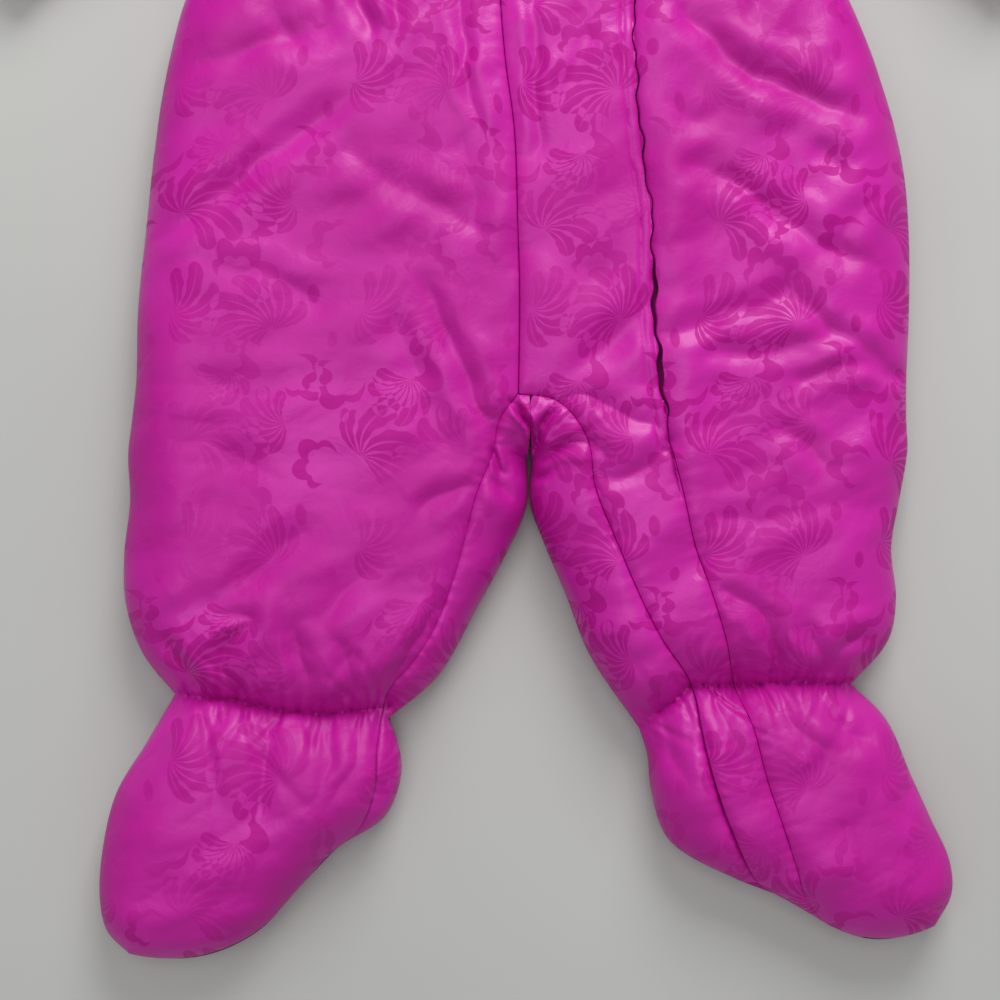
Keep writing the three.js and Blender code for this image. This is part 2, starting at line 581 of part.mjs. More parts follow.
addPiece('collar', fused(
  collarPatch((c) => -collarX(c), zipX, 'front', 12),
  collarPatch((c) => -collarX(c), collarX, 'back', 14),
  collarPatch((c) => zipX(c) + FLAP_GAP, collarX, 'front', 4),
));

// Zip tapes, sewn under the flap and under the left front, sunk towards the row of teeth between them
const zipLine = [...left.flap.slice(0, openRows - 1)].reverse().concat(curveThrough(FLAP_TOP, 2).slice(1));
function tape(side) {
  const grid = zipLine.map(([x, y]) => TAPE_PROFILE.map(({ across, sunk: share }) => {
    const place = [x - ZIP_INSET + side * (SEAM_GAP / 2 + across * TAPE_WIDTH), y];
    const under = wallAt(place, 'front', {}).inner[2] - TAPE_CLEAR - TAPE_DIP * share;
    return { outer: [...place, under], inner: [...place, under - TAPE_THICK] };
  }));
  return facingOut(wallGeometry(grid));
}
addPiece('zip_tape_right', tape(-1), TAPE);
addPiece('zip_tape_left', tape(1), TAPE);

// Slider and pull, closed at the neck and lying on the teeth under the flap
const SLIDER = { width: 8, length: 12, height: 2, nose: 1.5, hole: 0, clear: 0.9 };
const PULL = { width: 5, length: 17, height: 0.7, nose: 0.8, hole: 1.4, holeUp: 3.5 };
const slideX = flapX(SLIDER_Y) - ZIP_INSET;
const teethZ = wallAt([slideX, SLIDER_Y], 'front', {}).inner[2] - TAPE_CLEAR - TAPE_DIP;
function plate({ width, length, height, nose, hole, holeUp }) {
  const outline = new THREE.Shape();
  outline.moveTo(-width / 2, length / 2);
  outline.lineTo(-width / 2 + nose, -length / 2);
  outline.lineTo(width / 2 - nose, -length / 2);
  outline.lineTo(width / 2, length / 2);
  if (hole) {
    const ring = new THREE.Path().absarc(0, holeUp - length / 2, hole, 0, 2 * Math.PI, true);
    outline.holes.push(ring);
  }
  return new THREE.ExtrudeGeometry(outline, { depth: height, bevelEnabled: false, curveSegments: 10 });
}
const slider = addPiece('zip_slider', plate(SLIDER), METAL);
slider.position.set(slideX, SLIDER_Y, teethZ + SLIDER.clear);
const pull = addPiece('zip_pull', plate(PULL), METAL);
const pullZ = teethZ + SLIDER.clear + SLIDER.height + SEAM_GAP;
pull.position.set(slideX, SLIDER_Y - SLIDER.length / 4, pullZ);

// The origin is the middle of the suit's box on the table
const box = new THREE.Box3().setFromObject(suit);
suit.position.set(-(box.min.x + box.max.x) / 2, -(box.min.y + box.max.y) / 2, -box.min.z);

export default suit;
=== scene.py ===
import bpy
import numpy as np
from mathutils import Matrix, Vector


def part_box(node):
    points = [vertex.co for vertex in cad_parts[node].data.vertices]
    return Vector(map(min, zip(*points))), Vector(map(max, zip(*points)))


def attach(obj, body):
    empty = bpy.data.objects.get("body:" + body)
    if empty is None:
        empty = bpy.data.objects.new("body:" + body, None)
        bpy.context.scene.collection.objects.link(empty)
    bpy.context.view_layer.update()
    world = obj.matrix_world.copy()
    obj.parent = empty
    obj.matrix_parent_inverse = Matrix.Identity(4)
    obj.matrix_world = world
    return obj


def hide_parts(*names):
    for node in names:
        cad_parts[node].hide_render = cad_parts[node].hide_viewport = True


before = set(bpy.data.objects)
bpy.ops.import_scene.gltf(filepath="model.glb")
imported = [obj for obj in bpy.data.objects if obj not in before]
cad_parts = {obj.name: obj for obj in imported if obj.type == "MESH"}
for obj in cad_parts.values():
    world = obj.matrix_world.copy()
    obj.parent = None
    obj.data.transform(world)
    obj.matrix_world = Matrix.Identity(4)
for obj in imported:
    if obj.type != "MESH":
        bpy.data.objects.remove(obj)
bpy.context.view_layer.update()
MM = 0.001

# How the suit lies
# The suit is cut from padded cloth and lies on its back on a table. Front and back roll down to one another
# at the silhouette, so every point of the cloth has its height from its distance to that line. Sizes are
# millimetres.
WAIST_Y = 270.0
Y_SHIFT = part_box("front_right")[1][1] / MM - WAIST_Y
SEAM_HEIGHT = 14.0
FRONT_RISE = 27.0
EDGE_ROLL = 34.0
UNDER_ROLL = 20.0
WALL = 6.0
HALF_GAP = 0.15
ROWS = 18
FINE = 1.2

# Seam points of the wearer's right half from waist to toe: silhouette, front seam, inner edge, sag of the row
RIGHT_HALF = [
    dict(side=(-154, 270), front=(-8, 270), inner=(0, 270), bow=0),
    dict(side=(-165, 250), front=(-8.5, 249), inner=(1, 249), bow=0),
    dict(side=(-175, 211), front=(-6, 215), inner=(2, 215), bow=0),
    dict(side=(-181, 172), front=(-1.5, 180), inner=(3, 180), bow=0),
    dict(side=(-185, 134), front=(0, 140), inner=(4, 140), bow=0),
    dict(side=(-189, 96), front=(1, 100), inner=(5, 100), bow=0),
    dict(side=(-190, 58), front=(0.5, 52), inner=(6, 52), bow=0),
    dict(side=(-192, 40), front=(-9, 38.5), inner=(6.5, 36), bow=0),
    dict(side=(-194, 22), front=(-12, 23), inner=(5.2, 21), bow=0),
    dict(side=(-193, 0), front=(-20, 3), inner=(4.5, -4), bow=0),
    dict(side=(-196, -28), front=(-29, -31), inner=(-6.8, -29.6), bow=0),
    dict(side=(-195, -52), front=(-38, -57), inner=(-20.5, -54.8), bow=0),
    dict(side=(-187, -76), front=(-50, -78), inner=(-39.5, -88), bow=0),
    dict(side=(-171, -97), front=(-64, -95), inner=(-64, -109), bow=4),
    dict(side=(-185, -121), front=(-69, -119), inner=(-59, -123), bow=3),
    dict(side=(-200, -146), front=(-70, -142), inner=(-58, -138), bow=3),
    dict(side=(-207, -176), front=(-78, -162), inner=(-66, -158), bow=4),
    dict(side=(-208, -199), front=(-92, -176), inner=(-90, -174), bow=8),
    dict(side=(-204, -215), front=(-112, -197), inner=(-110, -195), bow=9.5),
    dict(side=(-193, -226), front=(-125, -212), inner=(-123, -210), bow=9),
]
# The wearer's left half: crotch and inner edge, inseam, edge of the flap and the seam it runs into,
# silhouette
LEFT_HALF = [
    dict(inner=(0, 270), seam=(-8, 270), flap=(56, 270), side=(154, 270), bow=0),
    dict(inner=(1, 249), seam=(-8.5, 249), flap=(56.5, 249), side=(165, 250), bow=0),
    dict(inner=(2, 215), seam=(-6, 215), flap=(57, 217), side=(178.5, 217), bow=0),
    dict(inner=(3, 180), seam=(-1.5, 180), flap=(60, 176), side=(191, 173), bow=0),
    dict(inner=(4, 140), seam=(0, 140), flap=(65, 137), side=(195, 140), bow=0),
    dict(inner=(5, 100), seam=(1, 100), flap=(65.5, 99), side=(195.5, 100), bow=0),
    dict(inner=(6, 52), seam=(0.5, 52), flap=(69, 58), side=(194, 58), bow=0),
    dict(inner=(6.5, 36), seam=(20, 48), flap=(72, 42), side=(194, 41), bow=0),
    dict(inner=(7, 21), seam=(34, 30), flap=(74, 29), side=(194.5, 24), bow=0),
    dict(inner=(6.5, -2), seam=(38, 6), flap=(80, 6), side=(190.5, 0), bow=0),
    dict(inner=(13, -20.5), seam=(47, -17), flap=(86, -20), side=(186.5, -24), bow=0),
    dict(inner=(24, -46.5), seam=(58, -43), flap=(93.5, -42), side=(189, -49), bow=0),
    dict(inner=(36.5, -77.8), seam=(70, -67), flap=(101, -66), side=(185, -70), bow=0),
    dict(inner=(61, -114), seam=(86, -91), flap=(108, -93), side=(167, -92), bow=4),
    dict(inner=(65, -127), seam=(90, -112), flap=(115, -111), side=(184, -109), bow=3),
    dict(inner=(67, -145), seam=(95, -134), flap=(121, -134), side=(196, -136), bow=3),
    dict(inner=(76, -170), seam=(103, -157), flap=(129, -158), side=(206, -158), bow=3),
    dict(inner=(110, -189.5), seam=(119, -189), flap=(137, -182), side=(215.5, -179), bow=6),
    dict(inner=(131, -198), seam=(133, -199), flap=(141, -194), side=(216.5, -196), bow=9),
    dict(inner=(147, -207), seam=(149, -208), flap=(151, -209), side=(208, -212), bow=9),
]
CROTCH = 6
CROTCH_TIP = 8
ANKLE = 13
OPENING_END = 8
HEEL = 14
WRAP_END = 17
BODICE_SIDE = [(154, 270), (149, 290), (148, 310), (149, 328), (151, 344)]
ARMHOLE_HIGH, ARMHOLE_LOW, ARMHOLE_BOW = (126, 441), (151, 344), 12
FLAP_TOP = [(56, 270), (53, 300), (47, 350), (40, 400), (35, 440)]
SHOULDER = [(126, 441), (92, 451), (55, 459)]
SLEEVE_TOP = [(126, 441), (180, 403), (238, 354), (285, 315)]
SLEEVE_LOW = [(151, 344), (186, 318), (216, 286), (243, 256)]
NECK_HALF, NECK_SIDE_Y, FRONT_NECK_Y, BACK_NECK_Y = 55.0, 459.0, 436.0, 452.0
COLLAR_TOP_HALF, COLLAR_HEIGHT = 53.0, 28.0
CENTRE_X = -8.0


def curve_through(points, steps):
    """Centripetal Catmull-Rom curve: each stretch is a cubic whose end slopes come from the chords beside
    it, weighted by the square roots of their lengths."""
    p = np.asarray(points, float)
    p = np.vstack([2 * p[0] - p[1], p, 2 * p[-1] - p[-2]])
    chord = np.sqrt(np.linalg.norm(np.diff(p, axis=0), axis=1))
    chord = np.where(chord < 1e-4, 1.0, chord)[:, None]
    a, b, c, d = p[:-3], p[1:-2], p[2:-1], p[3:]
    before, here, after = chord[:-2], chord[1:-1], chord[2:]
    slope_b = ((b - a) / before - (c - a) / (before + here) + (c - b) / here) * here
    slope_c = ((c - b) / here - (d - b) / (here + after) + (d - c) / after) * here
    t = (np.arange(steps) / steps)[None, :, None]
    b, c, slope_b, slope_c = (v[:, None, :] for v in (b, c, slope_b, slope_c))
    square, cube = 3 * (c - b) - 2 * slope_b - slope_c, 2 * (b - c) + slope_b + slope_c
    body = b + slope_b * t + square * t**2 + cube * t**3
    return np.vstack([body.reshape(-1, 2), p[-2:-1]])


def column(half, name, steps, corners=()):
    """Curve through one column of the table, made of stretches that meet in a corner at the stations
    named."""
    points = [row[name] for row in half]
    ends = [0, *corners, len(points) - 1]
    parts = [curve_through(points[a : b + 1], steps) for a, b in zip(ends, ends[1:])]
    return np.vstack([parts[0]] + [part[1:] for part in parts[1:]])


def seam_curves(steps):
    """Every named seam in plan, with the same number of points for each station."""
    bows = {}
    for name, half in (("right", RIGHT_HALF), ("left", LEFT_HALF)):
        bows[name] = curve_through([(row["bow"], i) for i, row in enumerate(half)], steps)[:, 0]
    return dict(
        right_side=column(RIGHT_HALF, "side", steps, [ANKLE]),
        right_front=column(RIGHT_HALF, "front", steps, [CROTCH]),
        right_inner=column(RIGHT_HALF, "inner", steps, [CROTCH_TIP, ANKLE]),
        right_bow=bows["right"],
        left_side=column(LEFT_HALF, "side", steps, [ANKLE]),
        left_seam=column(LEFT_HALF, "seam", steps, [CROTCH]),
        left_flap=column(LEFT_HALF, "flap", steps),
        left_inner=column(LEFT_HALF, "inner", steps, [CROTCH_TIP, ANKLE]),
        left_bow=bows["left"],
    )


def sagging_rows(start, end, bow, fractions):
    """Rows of points from start to end, each sagging to the right of its direction by a parabola of height
    bow."""
    start, end = np.atleast_2d(start), np.atleast_2d(end)
    along = end - start
    length = np.linalg.norm(along, axis=1, keepdims=True)
    down = np.stack([along[:, 1], -along[:, 0]], axis=1) / length
    f = np.asarray(fractions)
    f = np.broadcast_to(f, (len(start), f.shape[-1]))[:, :, None]
    sag = np.reshape(bow, (-1, 1, 1)) * 4 * f * (1 - f)
    return start[:, None] + along[:, None] * f + down[:, None] * sag


def crowded(count, share=0.55):
    """Fractions from 0 to 1, part even and part crowding to both ends."""
    f = np.linspace(0, 1, count + 1)
    return (1 - share) * f + share * (1 - np.cos(np.pi * f)) / 2


coarse = seam_curves(6)
tip = CROTCH_TIP * 6
mirror = np.array([-1, 1])
TOE_POINTS = 30


def toe_edge(start, end, bow):
    return sagging_rows(coarse[start][-1], coarse[end][-1], coarse[bow][-1], crowded(TOE_POINTS))[0]


toe_right = toe_edge("right_side", "right_inner", "right_bow")
toe_left = toe_edge("left_inner", "left_side", "left_bow")
sleeve_top = curve_through(SLEEVE_TOP, 8)
sleeve_low = curve_through(SLEEVE_LOW, 8)
bodice_side = curve_through(BODICE_SIDE, 4)
neck_side = np.array([(NECK_HALF, NECK_SIDE_Y), (COLLAR_TOP_HALF, NECK_SIDE_Y + COLLAR_HEIGHT)])
shoulder = curve_through(SHOULDER, 6)
armhole = sagging_rows(ARMHOLE_HIGH, ARMHOLE_LOW, ARMHOLE_BOW, crowded(24))[0][::-1]
SILHOUETTE = [
    np.vstack([
        (sleeve_low * mirror)[::-1], (bodice_side * mirror)[::-1][1:],
        coarse["right_side"][1:], toe_right[1:],
        coarse["right_inner"][tip:-1][::-1], coarse["left_inner"][tip:-1], toe_left,
        coarse["left_side"][:-1][::-1], bodice_side[1:], sleeve_low[1:],
    ]),
    np.vstack([sleeve_top[::-1], shoulder[1:], neck_side[1:]]),
    np.vstack([(neck_side * mirror)[::-1], (shoulder * mirror)[::-1][1:], (sleeve_top * mirror)[1:]]),
]


def to_line(points, line):
    """For each point the nearest place on a polyline: distance, that place, length run along the line, the
    side, positive to the left of its direction, and the stretch's number with the share of it that is run."""
    flat = points.reshape(-1, 2)
    line = np.asarray(line, float)
    a, ab = line[:-1], np.diff(line, axis=0)
    size = np.maximum((ab**2).sum(1), 1e-9)
    run = np.concatenate([[0], np.cumsum(np.sqrt(size))])
    out = np.empty((len(flat), 7))
    for i in range(0, len(flat), 6000):
        p = flat[i : i + 6000, None, :]
        f = np.clip(((p - a) * ab).sum(2) / size, 0, 1)
        gap = p - a - f[:, :, None] * ab
        square = (gap**2).sum(2)
        k = square.argmin(1)
        r = np.arange(len(k))
        g = gap[r, k]
        out[i : i + 6000, 0] = np.sqrt(square[r, k])
        out[i : i + 6000, 1:3] = p[:, 0] - g
        out[i : i + 6000, 3] = run[k] + f[r, k] * np.sqrt(size[k])
        out[i : i + 6000, 4] = np.sign(ab[k, 0] * g[:, 1] - ab[k, 1] * g[:, 0])
        out[i : i + 6000, 5] = k
        out[i : i + 6000, 6] = f[r, k]
    return out.reshape(points.shape[:-1] + (7,))


def bell(distance, width):
    return np.exp(-((distance / width) ** 2))


def quarter_round(f):
    return np.sqrt(1 - (1 - np.clip(f, 0, 1)) ** 2)


def unit(v):
    return v / np.maximum(np.linalg.norm(v, axis=-1, keepdims=True), 1e-9)


ON_EDGE = 0.5
TOUCHING = 0.08
SHARP_TURN = 0.85


def from_silhouette(points):
    """Distance to the silhouette, nought on it and beyond it, and the unit direction towards the cloth:
    straight from the nearest place, or on the line its normal, blended between the normals at both ends of
    the stretch."""
    nearest = np.full(points.shape[:-1], np.inf)
    distance = np.zeros(points.shape[:-1])
    away = np.zeros(points.shape)
    for number, line in enumerate(SILHOUETTE):
        near = to_line(points, line)
        along = np.diff(line, axis=0)
        own = unit(np.stack([-along[:, 1], along[:, 0]], 1))
        corner = unit(np.vstack([own[:1], own[:-1] + own[1:], own[-1:]]))
        k, f = near[..., 5].astype(int), near[..., 6:]
        smooth = corner[k] * (1 - f) + corner[k + 1] * f
        offset = points - near[..., 1:3]
        inside = ((offset * smooth).sum(-1) > 0) & (near[..., 0] > ON_EDGE)
        sharp = ((own[k] * smooth).sum(-1) < SHARP_TURN) & (number > 0)
        normal = unit(np.where(sharp[..., None], own[k], smooth))
        inward = (offset * own[k]).sum(-1)
        seen = np.where(inside, near[..., 0], np.where(inward < TOUCHING, 0, near[..., 0]))
        nearer = near[..., 0] < nearest
        nearest = np.where(nearer, near[..., 0], nearest)
        distance = np.where(nearer, seen, distance)
        away = np.where(nearer[..., None], np.where(inside[..., None], unit(offset), normal), away)
    return distance, away


# Elastics: the puff left on the line, how far the pull reaches, the deepest gather and the usual room
# between two
ELASTICS = [
    dict(
        along=[(-171, -96.5), (-142, -98.5), (-118, -104), (-94, -106), (-64, -103)],
        keeps=0.42, reach=13, gather=3.4, room=5.4,
    ),
    dict(
        along=[(61, -114), (66, -108), (76, -101), (86, -92), (107, -92), (140, -90), (167, -92)],
        keeps=0.42, reach=13, gather=3.2, room=5.2,
    ),
    dict(along=[(-156, 272), (156, 272)], keeps=0.72, reach=24, gather=1.6, room=9),
    dict(along=[(285, 315), (243, 256)], keeps=0.5, reach=22, gather=1.6, room=6),
    dict(along=[(-285, 315), (-243, 256)], keeps=0.5, reach=22, gather=1.6, room=6),
    dict(along=[(-55, 458), (55, 458)], keeps=0.6, reach=26, gather=0, room=8),
]

# Seams that pull the padding down, with the stretch of each that is sewn
flap_top = curve_through(FLAP_TOP, 8)
centre_front = np.vstack([[(CENTRE_X, FRONT_NECK_Y)], coarse["right_front"]])
SEAMS = [
    dict(line=centre_front, depth=3.0, pucker=0.45),
    dict(line=coarse["left_seam"][CROTCH * 6 :], depth=3.2, pucker=0.5),
    dict(line=coarse["left_flap"][OPENING_END * 6 :], depth=3.0, pucker=0.5),
    dict(line=armhole, depth=2.6, pucker=0.4),
    dict(line=armhole * mirror, depth=2.6, pucker=0.4),
    dict(line=np.array([(-156, 270.2), (156, 270.2)]), depth=2.4, pucker=0.0),
]
FLAP_EDGE = coarse["left_flap"][: OPENING_END * 6 + 1]

# Folds as they lie, each a soft trough with a raised lip: its points, depth and half width
CREASES = [
    dict(line=[(-78, 233), (-112, 225), (-157, 212)], depth=2.6, width=7),
    dict(line=[(-77, 200), (-122, 166), (-179, 124)], depth=2.6, width=6),
    dict(line=[(-83, 170), (-48, 147), (-10, 129)], depth=2.2, width=6),
    dict(line=[(-147, 113), (-120, 108), (-99, 97)], depth=2.2, width=6),
    dict(line=[(-46, 104), (-30, 72), (-11, 28)], depth=3.4, width=5),
    dict(line=[(-60, 92), (-50, 60), (-34, 24)], depth=1.6, width=7),
    dict(line=[(-20, 7), (-31, 6), (-48, -6)], depth=2.4, width=4.5),
    dict(line=[(-102, -14), (-130, -38), (-163, -59)], depth=2.6, width=7),
    dict(line=[(-147, -57), (-129, -56), (-143, -75), (-140, -95)], depth=3.2, width=4.5),
    dict(line=[(-172, -67), (-165, -80), (-159, -95)], depth=3.0, width=4),
    dict(line=[(-40, -52), (-50, -72), (-62, -86)], depth=2.6, width=4),
    dict(line=[(-110, -62), (-104, -80), (-104, -98)], depth=2.2, width=4.5),
    dict(line=[(-86, -70), (-82, -86), (-84, -99)], depth=2.0, width=4),
    dict(line=[(-170, 30), (-140, 24), (-112, 6)], depth=1.6, width=8),
    dict(line=[(-160, 62), (-120, 50), (-86, 58)], depth=1.4, width=9),
    dict(line=[(-64, -30), (-84, -44), (-96, -62)], depth=1.5, width=6),
    dict(line=[(-30, 190), (-22, 150), (-18, 112)], depth=1.6, width=6),
    dict(line=[(-78, 252), (-76, 240), (-70, 226)], depth=4.2, width=5),
    dict(line=[(-60, 250), (-58, 236), (-62, 222)], depth=2.2, width=4),
    dict(line=[(-28, 250), (-25, 210), (-19, 178)], depth=2.4, width=3.5),
    dict(line=[(-120, 248), (-116, 232), (-104, 216)], depth=2.0, width=6),
    dict(line=[(8, 250), (9, 204), (10, 172)], depth=1.8, width=3),
    dict(line=[(34, 250), (32, 222), (26, 200)], depth=1.6, width=5),
    dict(line=[(20, 58), (40, 74), (60, 90)], depth=2.2, width=6),
    dict(line=[(14, 120), (34, 112), (56, 122)], depth=1.2, width=8),
    dict(line=[(35, 29), (45, 20)], depth=2.0, width=4),
    dict(line=[(41, 12), (57, 11), (73, 27)], depth=2.4, width=4.5),
    dict(line=[(20.5, 48.5), (38, 50), (52, 42), (71, 33)], depth=2.4, width=5),
    dict(line=[(80, 240), (100, 218), (127, 202), (167, 186)], depth=4.4, width=6),
    dict(line=[(80, 164), (106, 154), (127, 138), (148, 124), (175, 113)], depth=3.4, width=6),
    dict(line=[(145, 175), (159, 160)], depth=2.2, width=5),
    dict(line=[(68, 78), (103, 90), (132, 101)], depth=2.8, width=5),
    dict(line=[(132, 100), (160, 78), (189, 62)], depth=3.4, width=5),
    dict(line=[(90, 70), (127, 73), (147, 78)], depth=2.4, width=4.5),
    dict(line=[(135, 57), (159, 66), (191, 59)], depth=2.8, width=4),
    dict(line=[(127, 36), (139, 26), (151, 19)], depth=2.4, width=5),
    dict(line=[(93, -8), (112, -10), (135, -6)], depth=2.0, width=6),
    dict(line=[(98, -43), (119, -56), (127, -76), (127, -91)], depth=3.0, width=4.5),
    dict(line=[(152, -86), (159, -71), (175, -67)], depth=2.8, width=5),
    dict(line=[(140, -60), (148, -76), (146, -90)], depth=2.2, width=4),
    dict(line=[(112, 232), (122, 250)], depth=2.0, width=6),
    dict(line=[(176, 150), (160, 132), (158, 110)], depth=1.4, width=6),
    dict(line=[(70, 196), (84, 186), (104, 190)], depth=1.5, width=6),
    dict(line=[(-4, 48), (2, 42.5), (5, 38.5), (8, 32.5)], depth=2.4, width=1.8),
    dict(line=[(0.5, 48), (5.5, 38), (9, 33)], depth=2.6, width=1.8),
    dict(line=[(18.5, 45), (14, 39), (9.8, 32.7), (8, 29)], depth=3.4, width=2.0),
    dict(line=[(8.5, 32), (8, 27.5), (7, 24)], depth=7, width=2.4),
    dict(line=[(33, 28.5), (25, 26.5), (15, 24), (8, 22)], depth=3.4, width=3.0),
    dict(line=[(5, 15.5), (9, 12.5), (15, 12.8)], depth=6.5, width=2.4),
    dict(line=[(-12, 24), (-10, 19), (-7.5, 13.5), (-5, 13)], depth=2.8, width=1.6),
    dict(line=[(-8.5, 12), (-7, 6), (-3, -1)], depth=3.4, width=4.2),
    dict(line=[(4, 30), (2, 20), (4.5, 12)], depth=1.4, width=2.2),
    dict(line=[(-123, -106), (-123, -135), (-126, -153)], depth=2.6, width=5),
    dict(line=[(-166, -101), (-180, -125), (-192, -140), (-203, -162)], depth=2.4, width=5),
    dict(line=[(-96, -108), (-92, -128), (-98, -146)], depth=2.0, width=5),
    dict(line=[(-146, -104), (-152, -122), (-150, -140)], depth=1.8, width=5),
    dict(line=[(-78, -110), (-80, -130), (-92, -150)], depth=1.6, width=4),
    dict(line=[(-64, -122), (-63, -136), (-68, -152)], depth=2.0, width=3),
    dict(line=[(128, -96), (136, -112), (150, -122)], depth=2.0, width=5),
    dict(line=[(150, -96), (160, -112), (176, -120)], depth=2.2, width=5),
    dict(line=[(96, -98), (104, -114), (108, -130)], depth=1.6, width=4),
    dict(line=[(74, -112), (76, -126), (84, -140)], depth=1.8, width=4),
    dict(line=[(196, -136), (190, -150), (200, -162)], depth=1.6, width=5),
]


def crease_depth(points):
    """Sum of the troughs: each fades to nothing at its ends, and is followed by a low lip on both sides."""
    sunk = np.zeros(points.shape[:-1])
    x, y = points[..., 0], points[..., 1]
    points = points + np.stack([
        0.9 * np.sin(y / 6.1 + 0.8 * np.sin(x / 9)) + 0.5 * np.sin(y / 2.9 + x / 11),
        0.9 * np.sin(x / 5.7 + 0.9 * np.sin(y / 8)) + 0.5 * np.sin(x / 3.1 - y / 9),
    ], -1)
    for crease in CREASES:
        line = curve_through(crease["line"], 5)
        length = np.linalg.norm(np.diff(line, axis=0), axis=1).sum()
        near = to_line(points, line)
        along = np.clip(near[..., 3] / length, 0, 1)
        taper = np.sqrt(np.clip(4 * along * (1 - along), 0, 1)) * 0.75 + 0.25
        s = near[..., 0] / crease["width"]
        trough = 0.66 * bell(s, 1) + 0.34 * np.exp(-2.6 * s)
        lip = 0.42 * np.exp(-(((s - 2.1) / 1.1) ** 2))
        sunk += crease["depth"] * taper * (trough - lip)
    return sunk


def uneven_waves(run, spacing, seed):
    """Puckers along a line: cosines of close but unlike lengths whose phase wanders, so no two match."""
    rng = np.random.default_rng(seed)
    total = np.zeros_like(run)
    for share in (1.0, 0.62, 1.45, 2.3):
        phase = rng.uniform(0, 2 * np.pi)
        wander = 1.3 * np.sin(run / (spacing * rng.uniform(2.5, 4.5)) + rng.uniform(0, 6))
        total += np.cos(2 * np.pi * run / (spacing * share) + phase + wander) / (1 + abs(share - 1) * 1.6)
    return total / 2.2


def gather_depth(near, room, deepest, seed):
    """Creases that fan out from an elastic on both sides. Each has its own place, slant, length and depth;
    it is a narrow bell across, widens away from the elastic and dies out exponentially."""
    rng = np.random.default_rng(seed)
    off, run, side = near[..., 0], near[..., 3], near[..., 4]
    sunk = np.zeros_like(off)
    end = run.max()
    for way in (1, -1):
        place = rng.uniform(0, room)
        while place < end:
            length = rng.choice([5, 9, 16, 26], p=[0.35, 0.3, 0.22, 0.13]) * rng.uniform(0.8, 1.25)
            slant = rng.normal(0, 0.3)
            bend = rng.normal(0, 0.012)
            depth = deepest * rng.uniform(0.35, 1.0)
            across = run - place - slant * off - bend * off**2
            width = 0.75 + 0.1 * off + 0.02 * length
            fade = np.exp(-((off / length) ** 1.3))
            sunk += (side == way) * depth * fade * (bell(across, width) - 0.35 * bell(across, 2.6 * width))
            place += room * rng.uniform(0.45, 1.7)
    return sunk


def rumple(points, seed=4):
    """Low unevenness of the padding: waves in scattered directions, each bent by a slower one. Half of them
    are plain sines, and half are absolute sines, which leave crisp valleys between soft pillows."""
    rng = np.random.default_rng(seed)
    x, y = points[..., 0], points[..., 1]
    total = np.zeros_like(x)
    for i in range(30):
        length = rng.uniform(14, 60)
        turn = rng.normal(0.55, 0.6)
        crossing = x * np.cos(turn + 1.4) + y * np.sin(turn + 1.4)
        bend = 7 * np.sin(crossing / rng.uniform(24, 50) + rng.uniform(0, 6))
        along = -x * np.sin(turn) + y * np.cos(turn) + bend
        phase = np.pi * along / length + rng.uniform(0, 6)
        wave = np.sin(2 * phase) if i % 2 else 2 * np.abs(np.sin(phase)) ** 0.8 - 1.2
        patch = np.sin(x / rng.uniform(28, 60) + rng.uniform(0, 6))
        patch = 0.5 + 0.5 * patch * np.sin(y / rng.uniform(28, 60) + rng.uniform(0, 6))
        total += 0.013 * length * wave * patch
    return total * 0.7


HEEL_STEP = 2.5
HEEL_LINES = [
    coarse["right_front"][(HEEL - 1) * 6 + 2 : (HEEL + 3) * 6],
    coarse["left_seam"][(HEEL - 1) * 6 + 2 : (HEEL + 3) * 6],
]


def front_height(points, distance, heel=0.0):
    """Height of the outer face above the side seam. The puff rolls up from the silhouette, is drawn in at
    the elastics, and carries pleats, seams, folds and rumples, which all die out at the silhouette."""
    roll = quarter_round(distance / EDGE_ROLL)
    puff = np.ones_like(roll)
    gathers = np.zeros_like(roll)
    for i, e in enumerate(ELASTICS):
        near = to_line(points, e["along"])
        puff = puff * (1 - (1 - e["keeps"]) * np.exp(-((near[..., 0] / e["reach"]) ** 1.35)))
        if e["gather"]:
            wave = 0.5 + 0.5 * uneven_waves(near[..., 3], e["room"], 11 + i)
            gathers += gather_depth(near, e["room"], e["gather"], 31 + i)
            gathers += e["gather"] * (0.55 + 0.3 * wave) * bell(near[..., 0], 1.3 + 0.8 * wave)
    seams = np.zeros_like(roll)
    puckers = np.zeros_like(roll)
    for i, seam in enumerate(SEAMS):
        near = to_line(points, seam["line"])
        seams = np.maximum(seams, seam["depth"] * np.exp(-near[..., 0] / 3.6))
        puckers += seam["pucker"] * np.exp(-near[..., 0] / 5) * uneven_waves(near[..., 3], 6, 41 + i)
    flap = to_line(points, FLAP_EDGE)
    to_left, to_right = flap[..., 4] < 0, flap[..., 4] > 0
    lift = -1.5 * np.exp(-np.abs(flap[..., 0] - 5.5) / 1.3) * to_left - 2.2 * np.exp(-flap[..., 0] / 1.6)
    bulge = 3.0 * bell(flap[..., 0] - 12, 11) * to_right
    step = sum(heel * HEEL_STEP * np.exp(-to_line(points, line)[..., 0] / 7) for line in HEEL_LINES)
    sunk = crease_depth(points) + seams + gathers - puckers - rumple(points)
    height = FRONT_RISE * puff * roll + (lift + bulge - step - sunk) * np.minimum(roll * 1.15, 1)
    return height, FRONT_RISE * puff, roll


